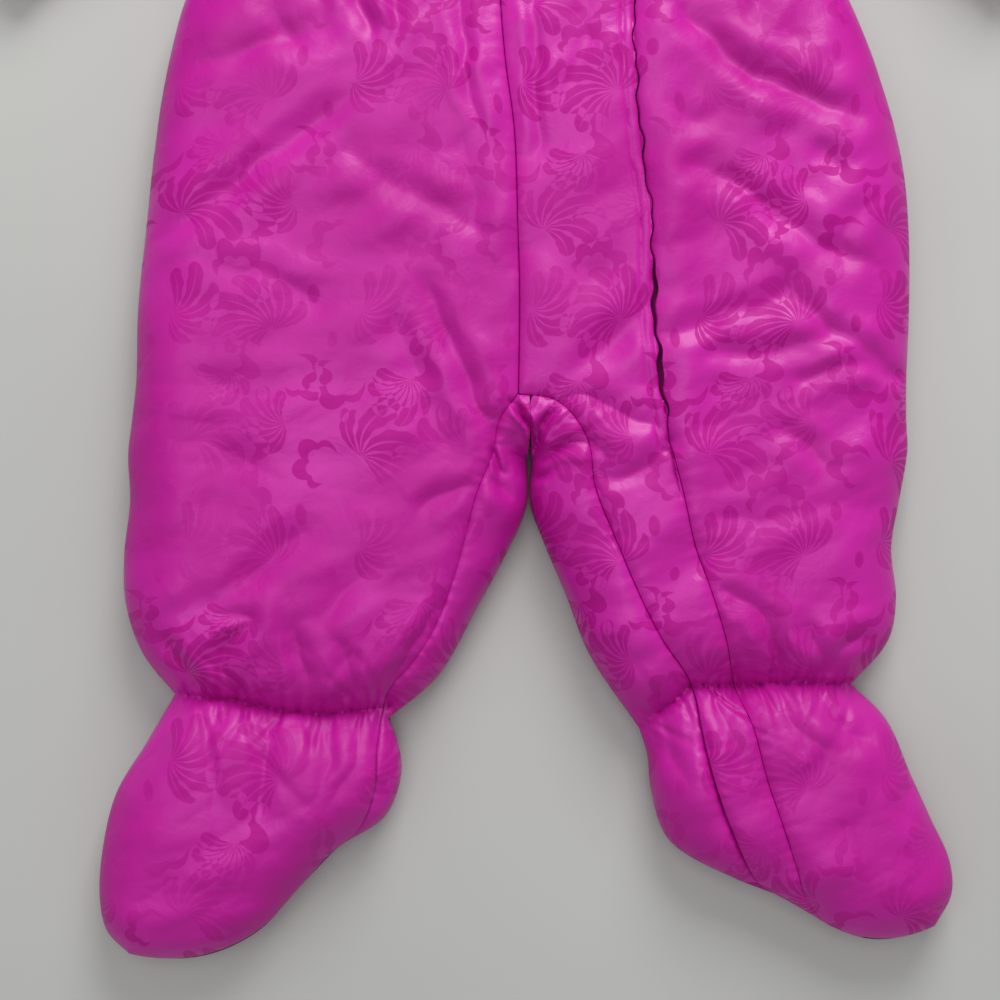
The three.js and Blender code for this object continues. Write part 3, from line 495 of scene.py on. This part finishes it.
def wall_points(points, face, heel=0.0):
    """Outer and inner faces of a stretch of cloth above a grid of places in plan. The inner face is the
    outer one drawn in by the thickness of the wall, sideways at the silhouette and straight down beyond the
    roll."""
    distance, away = from_silhouette(points)
    inset = WALL * np.clip(1 - distance / EDGE_ROLL, 0, 1)
    inner_plan = points + away * inset[..., None]
    if face == "back":
        base = SEAM_HEIGHT - HALF_GAP
        roll = quarter_round(distance / UNDER_ROLL)
        return (points, base * (1 - roll)), (inner_plan, base - (base - WALL) * roll)
    base = SEAM_HEIGHT + HALF_GAP
    height, rise, roll = front_height(points, distance, heel)
    return (points, base + height), (inner_plan, base + (rise - WALL) * roll)


def wall_mesh(outer, inner):
    """One closed wall from two grids of points: both faces, and a strip all round the border."""
    (plan_o, z_o), (plan_i, z_i) = outer, inner
    rows, cols = z_o.shape
    points = np.concatenate([
        np.concatenate([plan_o, z_o[..., None]], -1).reshape(-1, 3),
        np.concatenate([plan_i, z_i[..., None]], -1).reshape(-1, 3),
    ])
    grid = np.arange(rows * cols).reshape(rows, cols)
    face = np.stack([grid[:-1, :-1], grid[1:, :-1], grid[1:, 1:], grid[:-1, 1:]], -1).reshape(-1, 4)
    border = np.concatenate([grid[:-1, 0], grid[-1, :-1], grid[:0:-1, -1], grid[0, :0:-1]])
    after = np.roll(border, -1)
    skip = rows * cols
    strip = np.stack([border, border + skip, after + skip, after], -1)
    faces = np.concatenate([face, face[:, ::-1] + skip, strip])
    a, b, c, d = (points[faces[:, i]] for i in range(4))
    volume = np.einsum("ij,ij->", a, np.cross(b, c)) + np.einsum("ij,ij->", a, np.cross(c, d))
    return points, faces if volume > 0 else faces[:, ::-1]


def add_piece(name, walls, material, node):
    """Joins the walls of one piece into a smooth-shaded mesh in metres and puts it in place of its frame
    node."""
    points, faces, start = [], [], 0
    for wall_points_, wall_faces in walls:
        points.append(wall_points_)
        faces.append(wall_faces + start)
        start += len(wall_points_)
    points = np.concatenate(points) + (0, Y_SHIFT, 0)
    faces = np.concatenate(faces)
    mesh = bpy.data.meshes.new(name)
    mesh.vertices.add(len(points))
    mesh.vertices.foreach_set("co", (points * MM).ravel())
    mesh.loops.add(faces.size)
    mesh.loops.foreach_set("vertex_index", faces.ravel())
    mesh.polygons.add(len(faces))
    mesh.polygons.foreach_set("loop_start", np.arange(len(faces)) * 4)
    mesh.update(calc_edges=True)
    mesh.validate()
    mesh.polygons.foreach_set("use_smooth", np.ones(len(mesh.polygons), bool))
    mesh.set_sharp_from_angle(angle=np.radians(60))
    mesh.materials.append(material)
    piece = bpy.data.objects.new(name, mesh)
    bpy.context.collection.objects.link(piece)
    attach(piece, "root")
    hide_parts(node)
    return piece


def fine(count):
    return max(int(count * FINE), 6)


def panel(start, end, bow, columns, face="front", sewn=(True, True), heel=0.0):
    """Wall of a panel between two seam curves; ends that are sewn to a neighbour are held back by half a
    seam gap."""
    length = np.linalg.norm(end - start, axis=1)
    trim = HALF_GAP / length
    f = crowded(columns)
    low = trim * np.asarray(sewn[0])
    high = 1 - trim * np.asarray(sewn[1])
    fractions = low[:, None] + (high - low)[:, None] * f[None]
    return wall_mesh(*wall_points(sagging_rows(start, end, bow, fractions), face, heel))


def shader_math(tree, operation, a, b=None, c=None, clamp=False):
    node = tree.nodes.new("ShaderNodeMath")
    node.operation = operation
    node.use_clamp = clamp
    for socket, value in zip(node.inputs, (a, b, c)):
        if value is None:
            continue
        if isinstance(value, (int, float)):
            socket.default_value = value
        else:
            tree.links.new(value, socket)
    return node.outputs[0]


# Cloth
# Padded polyester with a tone-on-tone damask: matt palmettes, curled leaves and buds on a sateen ground that
# shines a little lighter where it faces the light. The motifs are this script's own drawing of a common
# ornament, in metres.
MATT = (0.430, 0.0015, 0.234, 1)
SATEEN = (0.525, 0.0070, 0.318, 1)
TILE = (0.086, 0.112)
EDGE_SOFTNESS = 0.0003
PETAL_RAGS = 22.0
# Palmettes: foot, direction in degrees, spread, number of petals, length of the middle one and twist
PALMETTES = [
    dict(foot=(0.024, 0.016), turn=62, spread=215, petals=5, length=0.0300, twist=0.8),
    dict(foot=(0.064, 0.078), turn=118, spread=230, petals=7, length=0.0290, twist=-0.7),
    dict(foot=(0.071, 0.026), turn=205, spread=190, petals=5, length=0.0240, twist=0.9),
    dict(foot=(0.018, 0.086), turn=-30, spread=200, petals=5, length=0.0250, twist=-0.9),
    dict(foot=(0.044, 0.053), turn=265, spread=180, petals=5, length=0.0215, twist=0.7),
]
# Curled leaves: centre, radius, half width, start in degrees, sweep, way round, how far they close in, and
# lobes
CURLS = [
    dict(centre=(0.041, 0.062), radius=0.0165, half=0.0085, turn=205, sweep=4.3, way=1, close=0.45, lobes=5),
    dict(centre=(0.009, 0.055), radius=0.0150, half=0.0078, turn=-10, sweep=4.2, way=-1, close=0.45, lobes=4),
    dict(centre=(0.048, 0.101), radius=0.0145, half=0.0078, turn=300, sweep=4.4, way=1, close=0.50, lobes=5),
    dict(centre=(0.075, 0.052), radius=0.0135, half=0.0070, turn=95, sweep=4.0, way=-1, close=0.45, lobes=4),
    dict(centre=(0.049, 0.012), radius=0.0130, half=0.0070, turn=160, sweep=4.4, way=-1, close=0.50, lobes=4),
    dict(centre=(0.004, 0.006), radius=0.0120, half=0.0062, turn=40, sweep=4.2, way=1, close=0.50, lobes=4),
]
# Buds: centre, half length, half width
BUDS = [
    (0.033, 0.041, 0.0050, 0.0030), (0.060, 0.041, 0.0044, 0.0028), (0.005, 0.074, 0.0048, 0.0026),
    (0.035, 0.078, 0.0042, 0.0028), (0.080, 0.098, 0.0050, 0.0030), (0.014, 0.034, 0.0040, 0.0024),
]


def from_point(tree, x, y, point):
    """Offset from a point to its nearest repeat."""
    return tuple(
        shader_math(tree, "WRAP", shader_math(tree, "SUBTRACT", value, place), size / 2, -size / 2)
        for value, place, size in zip((x, y), point, TILE)
    )


def polar(tree, dx, dy):
    square = shader_math(tree, "MULTIPLY_ADD", dx, dx, shader_math(tree, "MULTIPLY", dy, dy))
    return shader_math(tree, "SQRT", square), shader_math(tree, "ARCTAN2", dy, dx)


def vein_room(tree, from_middle, s):
    """Keeps the middle of a petal bare over its lower two thirds."""
    narrowing = shader_math(tree, "MULTIPLY_ADD", s, 0.11, -0.075)
    return shader_math(tree, "ADD", from_middle, narrowing)


def palmette_mask(tree, x, y, palmette):
    """1 inside the petals: each is a slice of the angle, twisted as the radius grows, and is the
    fourth-power round of 2s - 1 wide where s runs along it, with a wavy edge and a bare vein. Petals at the
    sides are shorter."""
    radius, angle = polar(tree, *from_point(tree, x, y, palmette["foot"]))
    share = shader_math(tree, "DIVIDE", radius, palmette["length"])
    twisted = shader_math(tree, "MULTIPLY_ADD", share, palmette["twist"], angle)
    facing = shader_math(tree, "SUBTRACT", twisted, float(np.radians(palmette["turn"])))
    turned = shader_math(tree, "WRAP", facing, float(np.pi), float(-np.pi))
    place = shader_math(tree, "DIVIDE", turned, float(np.radians(palmette["spread"])))
    square = shader_math(tree, "MULTIPLY", place, place)
    longest = shader_math(tree, "MULTIPLY_ADD", square, -1.8, 1.0)
    s = shader_math(tree, "DIVIDE", share, longest, clamp=True)
    petals = palmette["petals"]
    slice_place = shader_math(tree, "FRACT", shader_math(tree, "MULTIPLY_ADD", place, petals, 0.5 * petals))
    from_middle = shader_math(tree, "ABSOLUTE", shader_math(tree, "SUBTRACT", slice_place, 0.5))
    fourth = shader_math(tree, "POWER", shader_math(tree, "MULTIPLY_ADD", s, 2.0, -1.0), 4.0)
    full = shader_math(tree, "MAXIMUM", shader_math(tree, "SUBTRACT", 1.0, fourth), 0.0)
    wave = shader_math(tree, "SINE", shader_math(tree, "MULTIPLY", s, PETAL_RAGS))
    ragged = shader_math(tree, "MULTIPLY_ADD", wave, 0.035, 0.425)
    width = shader_math(tree, "MULTIPLY", shader_math(tree, "SQRT", full), ragged)
    beside = shader_math(tree, "SUBTRACT", width, from_middle)
    room = shader_math(tree, "MINIMUM", beside, vein_room(tree, from_middle, s))
    inside = shader_math(tree, "MULTIPLY", room, 18.0, clamp=True)
    within = shader_math(tree, "MULTIPLY", shader_math(tree, "SUBTRACT", 0.25, square), 40.0, clamp=True)
    return shader_math(tree, "MULTIPLY", inside, within)


def curl_mask(tree, x, y, curl):
    """1 inside a curled leaf: a ring that closes in as it turns, sin(pi t) wide where t runs along it, with
    round lobes on the outer side."""
    radius, angle = polar(tree, *from_point(tree, x, y, curl["centre"]))
    start = float(np.radians(curl["turn"]) * curl["way"])
    turned = shader_math(tree, "MULTIPLY_ADD", angle, float(curl["way"]), -start)
    run = shader_math(tree, "WRAP", turned, float(2 * np.pi), 0.0)
    t = shader_math(tree, "DIVIDE", run, curl["sweep"])
    half = curl["half"]
    half_turn = shader_math(tree, "MULTIPLY", t, float(np.pi))
    arch = shader_math(tree, "MAXIMUM", shader_math(tree, "SINE", half_turn), 0.0)
    middle = shader_math(tree, "MULTIPLY_ADD", t, -curl["radius"] * curl["close"], curl["radius"])
    out = shader_math(tree, "SUBTRACT", radius, middle)
    lobe_turn = shader_math(tree, "MULTIPLY", t, float(np.pi * curl["lobes"]))
    lobe = shader_math(tree, "ABSOLUTE", shader_math(tree, "SINE", lobe_turn))
    lobed_out = shader_math(tree, "MULTIPLY_ADD", lobe, 0.8 * half, 0.2 * half)
    lobed_in = shader_math(tree, "MULTIPLY_ADD", lobe, -0.3 * half, 0.5 * half)
    outer = shader_math(tree, "MULTIPLY", arch, lobed_out)
    inner = shader_math(tree, "MULTIPLY", arch, lobed_in)
    room_out = shader_math(tree, "SUBTRACT", outer, out)
    below = shader_math(tree, "MULTIPLY", room_out, 1 / EDGE_SOFTNESS, clamp=True)
    above = shader_math(tree, "MULTIPLY", shader_math(tree, "ADD", inner, out), 1 / EDGE_SOFTNESS, clamp=True)
    within = shader_math(tree, "LESS_THAN", t, 1.0)
    return shader_math(tree, "MULTIPLY", shader_math(tree, "MULTIPLY", below, above), within)


def bud_mask(tree, x, y, bud):
    dx, dy = from_point(tree, x, y, bud[:2])
    square_x = shader_math(tree, "POWER", shader_math(tree, "DIVIDE", dx, bud[3]), 2.0)
    square_y = shader_math(tree, "POWER", shader_math(tree, "DIVIDE", dy, bud[2]), 2.0)
    square = shader_math(tree, "ADD", square_x, square_y)
    return shader_math(tree, "MULTIPLY", shader_math(tree, "SUBTRACT", 1.0, square), 3.0, clamp=True)


def noise(tree, place, scale, detail=2.0, distortion=0.0):
    node = tree.nodes.new("ShaderNodeTexNoise")
    node.inputs["Scale"].default_value = scale
    node.inputs["Detail"].default_value = detail
    node.inputs["Distortion"].default_value = distortion
    tree.links.new(place, node.inputs["Vector"])
    return node


def damask_mask(tree, place):
    """1 on the sateen and 0 on the motifs, where two of them cross 1 again. The plan is bent a little so
    that the repeats don't match, and the pattern fades to an even 0.45 here and there."""
    bend = noise(tree, place, 13, 0)
    pull = tree.nodes.new("ShaderNodeVectorMath")
    pull.operation = "MULTIPLY_ADD"
    tree.links.new(bend.outputs["Color"], pull.inputs[0])
    pull.inputs[1].default_value = (0.022, 0.022, 0)
    tree.links.new(place, pull.inputs[2])
    split = tree.nodes.new("ShaderNodeSeparateXYZ")
    tree.links.new(pull.outputs[0], split.inputs[0])
    x, y = split.outputs[0], split.outputs[1]
    masks = [palmette_mask(tree, x, y, palmette) for palmette in PALMETTES]
    masks += [curl_mask(tree, x, y, curl) for curl in CURLS]
    masks += [bud_mask(tree, x, y, bud) for bud in BUDS]
    total = masks[0]
    for mask in masks[1:]:
        total = shader_math(tree, "ABSOLUTE", shader_math(tree, "SUBTRACT", total, mask))
    fade = shader_math(tree, "MULTIPLY_ADD", noise(tree, place, 15, 2).outputs["Fac"], 4.0, -1.5, clamp=True)
    sateen = shader_math(tree, "SUBTRACT", 1.0, total)
    patch = shader_math(tree, "MULTIPLY_ADD", shader_math(tree, "SUBTRACT", sateen, 0.45), fade, 0.45)
    return patch


def make_cloth():
    material = bpy.data.materials.new("magenta_damask_polyester")
    material.use_nodes = True
    tree = material.node_tree
    shader = tree.nodes["Principled BSDF"]
    place = tree.nodes.new("ShaderNodeTexCoord").outputs["Object"]
    mask = damask_mask(tree, place)
    colour = tree.nodes.new("ShaderNodeMix")
    colour.data_type = "RGBA"
    colour.inputs[6].default_value = MATT
    colour.inputs[7].default_value = SATEEN
    tree.links.new(mask, colour.inputs[0])
    tone = noise(tree, place, 14, 3)
    shade = tree.nodes.new("ShaderNodeHueSaturation")
    tree.links.new(colour.outputs[2], shade.inputs["Color"])
    tree.links.new(shader_math(tree, "MULTIPLY_ADD", tone.outputs["Fac"], 0.14, 0.93), shade.inputs["Value"])
    tree.links.new(shade.outputs[0], shader.inputs["Base Color"])
    tree.links.new(shader_math(tree, "MULTIPLY_ADD", mask, -0.17, 0.56), shader.inputs["Roughness"])
    shader.inputs["Sheen Weight"].default_value = 0.02
    shader.inputs["Sheen Roughness"].default_value = 0.4
    shader.inputs["Sheen Tint"].default_value = (1.0, 0.45, 0.85, 1)
    tree.links.new(shader_math(tree, "MULTIPLY_ADD", mask, 0.18, 0.20), shader.inputs["Specular IOR Level"])
    weave = noise(tree, place, 1500, 1)
    crumple = noise(tree, place, 70, 5, 0.7)
    fine_weave = shader_math(tree, "MULTIPLY", weave.outputs["Fac"], 0.00007)
    bump = tree.nodes.new("ShaderNodeBump")
    bump.inputs["Distance"].default_value = 1.0
    bump.inputs["Strength"].default_value = 0.7
    relief = shader_math(tree, "MULTIPLY_ADD", crumple.outputs["Fac"], 0.0009, fine_weave)
    tree.links.new(relief, bump.inputs["Height"])
    tree.links.new(bump.outputs[0], shader.inputs["Normal"])
    return material


cloth = make_cloth()
seams = seam_curves(ROWS)
rows_tip, rows_heel = CROTCH_TIP * ROWS, HEEL * ROWS

# Trouser fronts
# Three panels run in one piece each from the waist over the ankle elastic to the toe. The right one ends in
# the middle, the narrow centre one carries the free flap over the zip, and the left one starts beneath that
# flap.
add_piece("front_right_cloth", [
    panel(seams["right_side"], seams["right_front"], seams["right_bow"], fine(112), sewn=(False, True)),
], cloth, "front_right")
FLAP_SLIT = 1.6
# Height on the suit and width of the slit beside the flap
SLIT_WIDTHS = [
    (270, 0.5), (225, 0.3), (176, 0.6), (150, 0.3), (120, 0.5), (98, 2.4),
    (80, 0.8), (64, 2.8), (52, 1.6), (40, 0.3), (30, 0),
]
open_rows = OPENING_END * ROWS
flap_y = seams["left_flap"][:open_rows, 1]
fade = np.clip((270 - flap_y) / 12, 0, 1) * np.clip((flap_y - 30) / 12, 0, 1)
seams["left_flap"][:open_rows, 0] += fade * (0.7 * np.sin(flap_y / 5.3) + 0.5 * np.sin(flap_y / 2.3 + 1))
add_piece("front_centre_cloth", [
    panel(seams["left_seam"], seams["left_flap"], 0 * seams["left_bow"], fine(44)),
], cloth, "front_centre")
slit = seams["left_flap"].copy()
slit[:, 0] += np.interp(-slit[:, 1], *zip(*((-y, width) for y, width in SLIT_WIDTHS)))
add_piece("front_left_cloth", [
    panel(slit, seams["left_side"], seams["left_bow"], fine(84), sewn=(True, False)),
], cloth, "front_left")

# Trouser backs
# One back for each leg. It lies flat under the suit, comes up round the inner leg and the crotch to the
# inseam on the front, and reaches down past the ankle as the heel of the bootie.
wrap_stop = WRAP_END * ROWS + 1
for side, outer_name, inner_name, front_name, tip_share in (
    ("right", "right_side", "right_inner", "right_front", 0.05),
    ("left", "left_side", "left_inner", "left_seam", 0.33),
):
    wrap_start = CROTCH * ROWS + int(np.ceil(tip_share * ROWS))
    under_rows = np.arange(rows_heel + 1) < rows_tip
    wrap_rows = np.arange(wrap_start, wrap_stop) < rows_tip
    flip = side == "left"
    outer_edge, inner_edge, seam_edge = seams[outer_name], seams[inner_name], seams[front_name]
    under = (outer_edge[: rows_heel + 1], inner_edge[: rows_heel + 1])
    wrap = (seam_edge[wrap_start:wrap_stop], inner_edge[wrap_start:wrap_stop])
    ends_under = (False, under_rows)
    ends_wrap = (True, wrap_rows)
    if flip:
        under, wrap, ends_under, ends_wrap = under[::-1], wrap[::-1], ends_under[::-1], ends_wrap[::-1]
    add_piece(f"back_{side}_cloth", [
        panel(*under, np.zeros(rows_heel + 1), fine(60), "back", sewn=ends_under),
        panel(*wrap, np.zeros(wrap_stop - wrap_start), fine(22), sewn=ends_wrap, heel=1.0),
    ], cloth, f"back_{side}")

# Bootie soles
# Two soles, each sewn round its edge to the upper and the heel; they lie on the table.
for side, pair in (("right", ("right_side", "right_inner")), ("left", ("left_inner", "left_side"))):
    edges = [seams[name][rows_heel:].copy() for name in pair]
    for edge in edges:
        edge[0, 1] -= 2 * HALF_GAP
    add_piece(f"sole_{side}_cloth", [
        panel(edges[0], edges[1], seams[f"{side}_bow"][rows_heel:], fine(56), "back", sewn=(False, False)),
    ], cloth, f"sole_{side}")

# Upper body
# Plain padded fronts and back above the gathered waist seam, cut out for the arms and the neck.
armhole_out = sagging_rows(ARMHOLE_HIGH, ARMHOLE_LOW, ARMHOLE_BOW, crowded(fine(34)))[0][::-1]
bodice_edge = np.vstack([curve_through(BODICE_SIDE, max(ROWS - 4, 3)), armhole_out[1:]])
climb = ((bodice_edge[:, 1] - WAIST_Y) / (ARMHOLE_HIGH[1] - WAIST_Y))[:, None]
BODICE_BASE = WAIST_Y + 2 * HALF_GAP


def top_edge(x, neck_y):
    """Height of the shoulder line over x, and between the shoulders a neckline that dips as a parabola."""
    out = np.abs(x)
    line = shoulder[::-1]
    dip = neck_y + (NECK_SIDE_Y - neck_y) * (out / NECK_HALF) ** 2
    return np.where(out <= NECK_HALF, dip, np.interp(out, line[:, 0], line[:, 1]))


def flap_x(y):
    line = curve_through(FLAP_TOP, 12)
    slope = (line[-1, 0] - line[-2, 0]) / (line[-1, 1] - line[-2, 1])
    return np.interp(y, line[:, 1], line[:, 0]) + np.maximum(y - line[-1, 1], 0) * slope


def bodice_panel(from_x, to_x, neck_y, columns, face="front", gaps=(HALF_GAP, HALF_GAP)):
    """Rows climb from the waist to the shoulder line and the neck between two edges given as x for each
    row."""
    low, high = from_x + gaps[0], to_x - gaps[1]
    x = low + (high - low) * crowded(columns)[None]
    y = BODICE_BASE + (top_edge(x, neck_y) - BODICE_BASE) * climb
    return wall_mesh(*wall_points(np.stack([x, y], -1), face))


edge_x = bodice_edge[:, :1]
middle = np.full_like(edge_x, CENTRE_X)
flap_rows = flap_x(BODICE_BASE + (FRONT_NECK_Y - BODICE_BASE) * climb)
for node, from_x, to_x, neck_y, columns, face in (
    ("bodice_front_right", -edge_x, middle, FRONT_NECK_Y, 64, "front"),
    ("bodice_front_centre", middle, flap_rows, FRONT_NECK_Y, 34, "front"),
    ("bodice_front_left", flap_rows + FLAP_SLIT - HALF_GAP, edge_x, FRONT_NECK_Y, 52, "front"),
    ("bodice_back", -edge_x, edge_x, BACK_NECK_Y, 90, "back"),
):
    add_piece(f"{node}_cloth", [bodice_panel(from_x, to_x, neck_y, fine(columns), face)], cloth, node)

# Sleeves
# Each is one piece folded round the arm, set into the armhole and drawn in by an elastic at the open wrist.
SLEEVE_CLEAR = 0.8
for side, sign in (("right", -1), ("left", 1)):
    top, low = curve_through(SLEEVE_TOP, fine(30)), curve_through(SLEEVE_LOW, fine(30))
    sleeve_rows = sagging_rows(top, low, ARMHOLE_BOW * np.linspace(1, 0, len(top)), crowded(fine(46)))
    sleeve_rows[0] += (0.82 * SLEEVE_CLEAR, -0.57 * SLEEVE_CLEAR)
    sleeve_rows = sleeve_rows * (sign, 1)
    add_piece(f"sleeve_{side}_cloth", [
        wall_mesh(*wall_points(sleeve_rows, face)) for face in ("front", "back")
    ], cloth, f"sleeve_{side}")

# Neckband
# A plain band that stands round the neck, slit where the zip comes up.
def collar_panel(from_x, to_x, neck_y, face, columns):
    """Rows rise by the band's height from the neckline."""
    up = np.linspace(0, 1, 12)[:, None]
    band = NECK_HALF + (COLLAR_TOP_HALF - NECK_HALF) * up
    low = -band if from_x is None else from_x(up)
    high = band if to_x is None else to_x(up)
    x = low + (high - low) * crowded(columns)[None]
    foot = top_edge(np.clip(x[:1], -NECK_HALF, NECK_HALF), neck_y)
    y = foot + 6 * HALF_GAP + (COLLAR_HEIGHT - 4 * HALF_GAP) * up
    return wall_mesh(*wall_points(np.stack([x, y], -1), face))


def zip_edge(up):
    return flap_x(FRONT_NECK_Y + COLLAR_HEIGHT * up)


add_piece("collar_cloth", [
    collar_panel(None, zip_edge, FRONT_NECK_Y, "front", fine(50)),
    collar_panel(None, None, BACK_NECK_Y, "back", fine(60)),
    collar_panel(lambda up: zip_edge(up) + FLAP_SLIT, None, FRONT_NECK_Y, "front", fine(14)),
], cloth, "collar")

# Zip
# Woven tapes under the flap meet in a row of small teeth, and a slider and pull of plated metal stand shut
# at the neck.
ZIP_INSET, TAPE_WIDTH, TAPE_THICK, TAPE_CLEAR, TAPE_DIP = 7.0, 13.0, 1.2, 0.9, 5.0
TOOTH_PITCH, TOOTH_LENGTH, TOOTH_WIDTH, TOOTH_HEIGHT, TOOTH_OVERLAP = 2.4, 3.2, 0.8, 0.75, 0.5


def make_plain(name, colour, roughness, metallic, grain):
    material = bpy.data.materials.new(name)
    material.use_nodes = True
    tree = material.node_tree
    shader = tree.nodes["Principled BSDF"]
    mottle = noise(tree, tree.nodes.new("ShaderNodeTexCoord").outputs["Object"], grain)
    mix = tree.nodes.new("ShaderNodeMix")
    mix.data_type = "RGBA"
    mix.inputs[6].default_value = (*(0.8 * c for c in colour), 1)
    mix.inputs[7].default_value = (*colour, 1)
    tree.links.new(mottle.outputs["Fac"], mix.inputs[0])
    tree.links.new(mix.outputs[2], shader.inputs["Base Color"])
    uneven = shader_math(tree, "MULTIPLY_ADD", mottle.outputs["Fac"], 0.2, roughness - 0.1)
    tree.links.new(uneven, shader.inputs["Roughness"])
    shader.inputs["Metallic"].default_value = metallic
    return material


tape_cloth = make_plain("zip_tape_weave", (0.34, 0.012, 0.19), 0.8, 0.0, 1600)
tooth_plastic = make_plain("zip_tooth_plastic", (0.30, 0.010, 0.17), 0.4, 0.0, 400)
zip_metal = make_plain("zip_plated_metal", (0.62, 0.63, 0.65), 0.35, 1.0, 300)
zip_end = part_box("zip_tape_left")[0][1] / MM - Y_SHIFT
zip_line = np.vstack([coarse["left_flap"][::-1], flap_top[1:]])
zip_line = zip_line[zip_line[:, 1] >= zip_end - 1]


def under_cloth(points):
    """Height just below the inner face of the front over places in plan."""
    return wall_points(points, "front")[1][1] - TAPE_CLEAR


for side, sign in (("right", -1), ("left", 1)):
    across = np.linspace(0, 1, 11)
    sunk = np.clip((1 - across) / 0.6, 0, 1)
    shift = sign * (HALF_GAP + across * TAPE_WIDTH) - ZIP_INSET
    plan = zip_line[:, None, :] + np.stack([shift, 0 * shift], -1)[None]
    top = under_cloth(plan) - TAPE_DIP * sunk
    tape = wall_mesh((plan, top), (plan, top - TAPE_THICK))
    add_piece(f"zip_tape_{side}_cloth", [tape], tape_cloth, f"zip_tape_{side}")

# Teeth stand in turn on the two tapes and reach a little over the middle
teeth_points, teeth_faces = [], []
run = np.concatenate([[0], np.cumsum(np.linalg.norm(np.diff(zip_line, axis=0), axis=1))])
cube = np.array([(x, y, z) for x in (0, 1) for y in (-0.5, 0.5) for z in (0, 1)], float)
cube_faces = np.array([(0, 1, 3, 2), (4, 6, 7, 5), (0, 4, 5, 1), (2, 3, 7, 6), (0, 2, 6, 4), (1, 5, 7, 3)])
for i, place in enumerate(np.arange(TOOTH_PITCH, run[-1] - TOOTH_PITCH, TOOTH_PITCH / 2)):
    x, y = (np.interp(place, run, zip_line[:, k]) for k in (0, 1))
    z = under_cloth(np.array([[x - ZIP_INSET, y]]))[0] - TAPE_DIP + 0.05
    way = 1 if i % 2 else -1
    start = x - ZIP_INSET - way * TOOTH_OVERLAP
    corners = cube * (way * TOOTH_LENGTH, TOOTH_WIDTH, TOOTH_HEIGHT) + (start, y, z)
    teeth_faces.append((cube_faces if way > 0 else cube_faces[:, ::-1]) + len(teeth_points) * len(cube))
    teeth_points.append(corners)
teeth_mesh = bpy.data.meshes.new("zip_teeth")
teeth_places = (np.concatenate(teeth_points) + (0, Y_SHIFT, 0)) * MM
teeth_mesh.from_pydata(teeth_places.tolist(), [], np.concatenate(teeth_faces).tolist())
teeth_mesh.materials.append(tooth_plastic)
teeth = bpy.data.objects.new("zip_teeth", teeth_mesh)
bpy.context.collection.objects.link(teeth)
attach(teeth, "root")
for name in ("zip_slider", "zip_pull"):
    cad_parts[name].data.materials.clear()
    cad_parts[name].data.materials.append(zip_metal)

# Table, light and camera
# The suit is photographed from straight above on a pale warm grey table, under a soft light from beyond the
# head.
def add_plane(name, size, material):
    mesh = bpy.data.meshes.new(name)
    corners = [(-size, -size, 0), (size, -size, 0), (size, size, 0), (-size, size, 0)]
    mesh.from_pydata(corners, [], [(0, 1, 2, 3)])
    mesh.materials.append(material)
    plane = bpy.data.objects.new(name, mesh)
    bpy.context.collection.objects.link(plane)
    return plane


table = make_plain("table_top", (0.53, 0.53, 0.505), 0.6, 0.0, 3)
add_plane("table", 4.0, table)

PHOTO_CENTRE = (-8.5, 0.0)
FIELD_MM = 500.0
CAMERA_HEIGHT = 900.0
camera_data = bpy.data.cameras.new("camera")
camera_data.lens = camera_data.sensor_width * CAMERA_HEIGHT / FIELD_MM
camera = bpy.data.objects.new("camera", camera_data)
camera_mm = (PHOTO_CENTRE[0], PHOTO_CENTRE[1] + Y_SHIFT, CAMERA_HEIGHT + SEAM_HEIGHT)
camera.location = tuple(value * MM for value in camera_mm)
bpy.context.collection.objects.link(camera)
bpy.context.scene.camera = camera


def add_light(name, place, size, energy, aim=(0, 0, 0)):
    data = bpy.data.lights.new(name, "AREA")
    data.size = size
    data.energy = energy
    light = bpy.data.objects.new(name, data)
    light.location = place
    direction = np.array(aim) - np.array(place)
    x, y, z = direction
    light.rotation_euler = (np.arctan2(np.hypot(x, y), -z), 0, np.arctan2(-x, y))
    bpy.context.collection.objects.link(light)


add_light("window", (0.35, 1.5, 1.1), 1.0, 30, (0, 0, 0))
add_light("ceiling", (-0.3, 0.2, 2.2), 1.6, 13, (0, 0, 0))
world = bpy.data.worlds.new("room")
world.use_nodes = True
world.node_tree.nodes["Background"].inputs[0].default_value = (0.96, 0.98, 1.0, 1)
world.node_tree.nodes["Background"].inputs[1].default_value = 0.43
bpy.context.scene.world = world
bpy.context.scene.view_settings.view_transform = "Standard"
